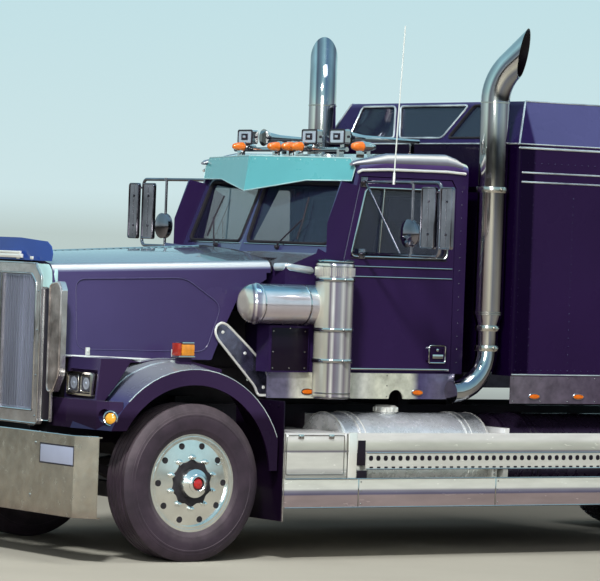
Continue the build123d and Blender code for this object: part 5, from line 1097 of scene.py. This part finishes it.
def build_tanks():
    for side, hand in SIDES:
        out = (0, side, 0)
        straps = Piece(f"tank_straps_{hand}", "bright")
        # The rear tank's straps and rims are near-black as painted shadow.
        shaded = Piece(f"tank_straps_rear_{hand}", "near_black_and_painted_shade")
        y, z = side * 850, 690
        bend = [(y + side * STRAP_R * math.sin(a), z + STRAP_R * math.cos(a))
                for a in (math.pi * k / 24 for k in range(-3, 22))]
        for x, made in ((1420, straps), (2330, straps), (2900, shaded), (4200, shaded)):
            for dx in (-22, 22):
                made.tube(at_x(x + dx, bend), 3.5, 6)
            made.bolt((x, y - side * 150, z + 262), (0, -side * 0.5, 0.86), 9, 16)
        # Rolled rims at the ends of each tank, filler neck and its tether.
        for x, made in ((1262, straps), (2493, straps), (2657, shaded), (4433, shaded)):
            made.ring([(-7, 294), (-4, 299), (4, 299), (7, 294)], (x, y, z), BACK, 64)
        straps.lathe([(0, 74), (20, 74), (26, 82), (62, 82), (74, 66), (78, 0)], (1780, y, 962))
        straps.tube([(1710, y - 30, 985), (1850, y - 30, 985)], 5, 6)
        for px, py in round_points(1780, y, 82, 12):
            straps.box((px - 5, py - 5, 990), (px + 5, py + 5, 1022), 2)
        ends = Piece(f"tank_ends_{hand}", "tank")
        for x, d in ((1254.5, -1), (2500.5, 1), (2649.5, -1), (4440.5, 1)):
            ends.lathe([(0, 286), (8, 276), (14, 200), (17, 90), (18, 0)], (x, y, z), (d, 0, 0), 48)
            ends.lathe([(0, 20), (24, 19), (24, 0)], (x, y, z - 190), (d, 0, 0), 16)

        # Steps: a row of tall slots over a row of flat ones, slots in the top, rolled edges, bands and bolts.
        slots = Piece(f"step_slots_{hand}", "black", smooth=30)
        for z0, start, wide, tall in ((622, 1400, 30, 11), (672, 1392, 36, 36)):
            for x in range(start, start + 62 * 51, 62):
                oval = panel(x, x + wide, z0, z0 + tall, min(17, tall * 0.48), 3)
                slots.plate(at_y(side * STEP_FACE, oval), out, 0.8)
        for x in range(1392, 1392 + 48 * 66, 48):
            slots.box((x, side * 1164, 726), (x + 30, side * 1203, 728.2))
        edge = Piece(f"step_edges_{hand}", "chrome")
        for x, y, z in ((1372, STEP_FACE, 727), (1372, STEP_FACE, 616), (702, 1225, 552), (702, 1225, 357)):
            edge.tube([(x, side * y, z), (4588, side * y, z)], 4.5)
        for x in (1306, 2480, 3545):
            edge.box((x - 5, side * 1224, 357), (x + 5, side * 1228, 552), 1)
            for z in (380, 470, 530):
                edge.rivet((x + 22, side * 1225, z), out, 6)
        for x in (1300, 2480, 3545, 4550):
            for z in (575, 600):
                edge.bolt((x, side * 1207, z), out, 7, 7)
        Piece(f"tank_end_strap_{hand}", "bright").box((1222, side * 1205, 556), (1290, side * 1219, 866), 5)
        brackets = Piece(f"step_brackets_{hand}", "black")
        brackets.box((1296, side * 1205, 640), (1362, side * 1217, 812), 4)
        brackets.box((1300, min(side * 1205, side * 1221), 505), (1378, max(side * 1205, side * 1229), 606), 4)
        # Tool box: door seam, latches and corner trim on its outer face.
        box = Piece(f"tool_box_trim_{hand}", "chrome")
        box.tube(at_y(side * 1206, panel(716, 1190, 580, 845, 14)), 3.5, 6, closed=True)
        for x in (830, 1080):
            box.box((x - 22, side * 1205, 822), (x + 22, side * 1212, 852), 2)
            box.box((x - 9, side * 1211, 826), (x + 9, side * 1219, 846), 2)
        box.tube([(695, side * 1213, 270), (695, side * 1213, 858)], 5)
        box.tube([(1208, side * 1217, 730), (1208, side * 1217, 858)], 5)


FIFTH_X = 5950


def build_chassis():
    bolts, tanks = Piece("rail_bolts", "iron"), Piece("air_tanks", "black")
    clamps, tail = Piece("spring_clamps", "iron"), Piece("tail_trim", "chrome")
    for side in (-1, 1):
        # Bolts along the rails.
        for x in (-520, -380, 120, 300, 700, 1080, 1120, 2130, 2170, 2740, 3290, 3310, 4440, 4600, 4620, 5160, 5300,
                  5450, 5930, 6060, 6200, 6340, 6480, 6900, 7040, 7300, 7440, 7600):
            for z in (800, 965):
                bolts.bolt((x, side * 432, z), (0, side, 0), 9, 9)
        # Air tanks under the sleeper, with their bands and straps.
        for x in (2760, 3500):
            at = (x, side * 200, 790)
            tanks.lathe([(-330, 0), (-322, 60), (-290, 105), (290, 105), (322, 60), (330, 0)], at, BACK)
            for dx in (-180, 180):
                tanks.ring([(-16, 106), (-16, 109), (16, 109), (16, 106)], (x + dx, side * 200, 790), BACK, 32)
                tanks.tube(at_x(x + dx, [(300, 800), (345, 830), (424, 840)], side), 10)
        # U-bolts on the springs.
        for dx in (-60, 60):
            clamps.tube(at_x(dx, [(338, 430), (338, 590), (432, 590), (432, 430)], side), 8)
        for dx in (-60, 60):
            for y in (338, 432):
                clamps.bolt((dx, side * y, 430), (0, 0, -1), 12, 14)
        for x in (5540, 6860):
            for dx in (-60, 60):
                clamps.tube(at_x(x + dx, [(336, 450), (336, 655), (434, 655), (434, 450)], side), 9)
        # Tail: lamp rims, flap hangers and weights.
        for y in (900, 1010, 1120):
            tail.ring([(0, 42), (0, 50), (12, 50), (20, 44)], (7671, side * y, 705), BACK, 28)
        for low, high in ((334, 372), (918, 952)):
            tail.box((7448, side * 640, low), (7452.5, side * 1210, high), 1.5)
        for k in range(5):
            tail.bolt((7466, side * (660 + 130 * k), 935), BACK, 8, 8)
    Piece("rear_number_plate", "white").box((7671, -240, 645), (7674, 240, 760), 2)

    # Fifth wheel: grease grooves, jaw, release handle.
    coupling = Piece("coupling_details", "iron", "fifth_wheel_plate")
    for r in (300, 400):
        coupling.tube([(FIFTH_X + r * math.cos(a), r * math.sin(a), 1235.2)
                       for a in (math.radians(d) for d in range(38, 323, 6))], 4, 6, flat=0.4)
    for k in range(10):
        a = math.radians(60 + 26.6 * k)
        coupling.lathe([(0, 13), (1.5, 11), (1.5, 0)], (FIFTH_X + 445 * math.cos(a), 445 * math.sin(a), 1235), UP, 12)
    handle = [(5900, -380, 1180), (5890, -520, 1175), (5890, -560, 1175), (5930, -560, 1175), (5930, -520, 1175)]
    coupling.tube(handle, 9)
    coupling.ring([(-30, 27.5), (-30, 42), (-2, 42), (-2, 27.5)], (FIFTH_X, 0, 1232), UP, 32)


# ---------------------------------------------------------------- under the hood and inside
FAN = (-420, 0, 1400)
LEVER_FOOT = (1500, -120)


def build_inside():
    # Radiator core, fan with its shroud, rocker covers and hoses.
    core = Piece("radiator_core", "iron", smooth=30)
    for k in range(70):
        y = -400 + 11.6 * k
        core.box((-604, y - 1.5, 1060), (-600.5, y + 1.5, 1790))
    for z in (1050, 1800):
        core.box((-610, -428, z - 25), (-490, 428, z + 25), 8)
    fan = Piece("fan", "plastic")
    fan.ring([(0, 330), (0, 345), (110, 345), (110, 330)], (-470, 0, 1400), BACK, 40)
    for a in turns(8):
        turn = Matrix.Translation(FAN) @ Matrix.Rotation(a, 4, "X") @ Matrix.Rotation(0.5, 4, "Z")
        fan.box((-6, -42, 60), (6, 42, 300), 3, turn)
    fan.lathe([(-30, 0), (-30, 70), (60, 70), (150, 55), (150, 0)], FAN, BACK)
    covers = Piece("engine_covers", "iron")
    for x in range(-180, 746, 185):
        covers.box((x, -150, 1650), (x + 165, 150, 1745), 14)
        for dx in (30, 135):
            for y in (-120, 120):
                covers.bolt((x + dx, y, 1745), UP, 9, 9)
    hoses = Piece("radiator_hoses", "rubber")
    for side in (-1, 1):
        for k in range(6):
            covers.lathe([(0, 46), (40, 40), (46, 0)], (-120 + 185 * k, side * 290, 1450), (0, side, 0), 20)
        covers.box((-200, side * 290, 1180), (880, side * 330, 1260), 10)
        for radius, path in ((32, ((-500, 250, 1720), (-380, 255, 1740), (-300, 240, 1700), (-252, 230, 1640))),
                             (28, ((-500, 300, 1120), (-400, 300, 1100), (-300, 260, 1080), (-252, 250, 1100)))):
            hoses.tube([(x, side * y, z) for x, y, z in path], radius, 12)
    # Cab inside: seat cushions, seams and arms, gauges and switches on the dash.
    seats = Piece("seat_cushions", "fabric")
    for y in (-480, 480):
        seats.box((1600, y - 236, 1776), (2095, y + 236, 1800), 16)
        for k in range(4):
            seats.tube([(1620, y - 150 + 100 * k, 1801), (2080, y - 150 + 100 * k, 1801)], 4, 6)
        for dy in (-258, 258):
            seats.box((1760, y + dy - 22, 1880), (2080, y + dy + 22, 1925), 14)
    dash = Piece("dash_gauges", "chrome")
    for x, z in ((1372, 1965), (1350, 1885)):
        for k in range(5):
            dash.ring([(0, 30), (6, 30), (6, 26), (2, 26)], (x, -640 + 78 * k, z), (0.8, 0, 0.35), 24)
    for k in range(10):
        dash.box((1350, -180 + 46 * k, 1850), (1366, -160 + 46 * k, 1880), 3)
    dash.box((1330, 330, 1800), (1368, 720, 1900), 8)
    # Gear lever and pedals.
    controls = Piece("cab_controls", "plastic")
    controls.tube([(*LEVER_FOOT, 1330), (1520, -130, 1600), (1560, -160, 1780)], 11, 10)
    controls.lathe([(-20, 16), (0, 28), (24, 26), (34, 0)], (1562, -161, 1782), (0.3, 0, 1), 20)
    controls.lathe([(0, 90), (30, 70), (80, 24), (90, 12)], (*LEVER_FOOT, 1313), UP, 24)
    for y in (-620, -520, -380):
        controls.box((1250, y - 32, 1400), (1262, y + 32, 1490), 4)
        controls.tube([(1250, y, 1480), (1180, y, 1560)], 8)


for build in (build_camera, build_stage, build_wheels, build_front, build_fender_edges, build_hood, build_cab,
              build_roof_shoulders, build_doors, build_roof, build_stacks, build_air_cleaners, build_sleeper,
              build_tanks, build_chassis, build_inside):
    build()
for piece in PIECES:
    place(*piece)
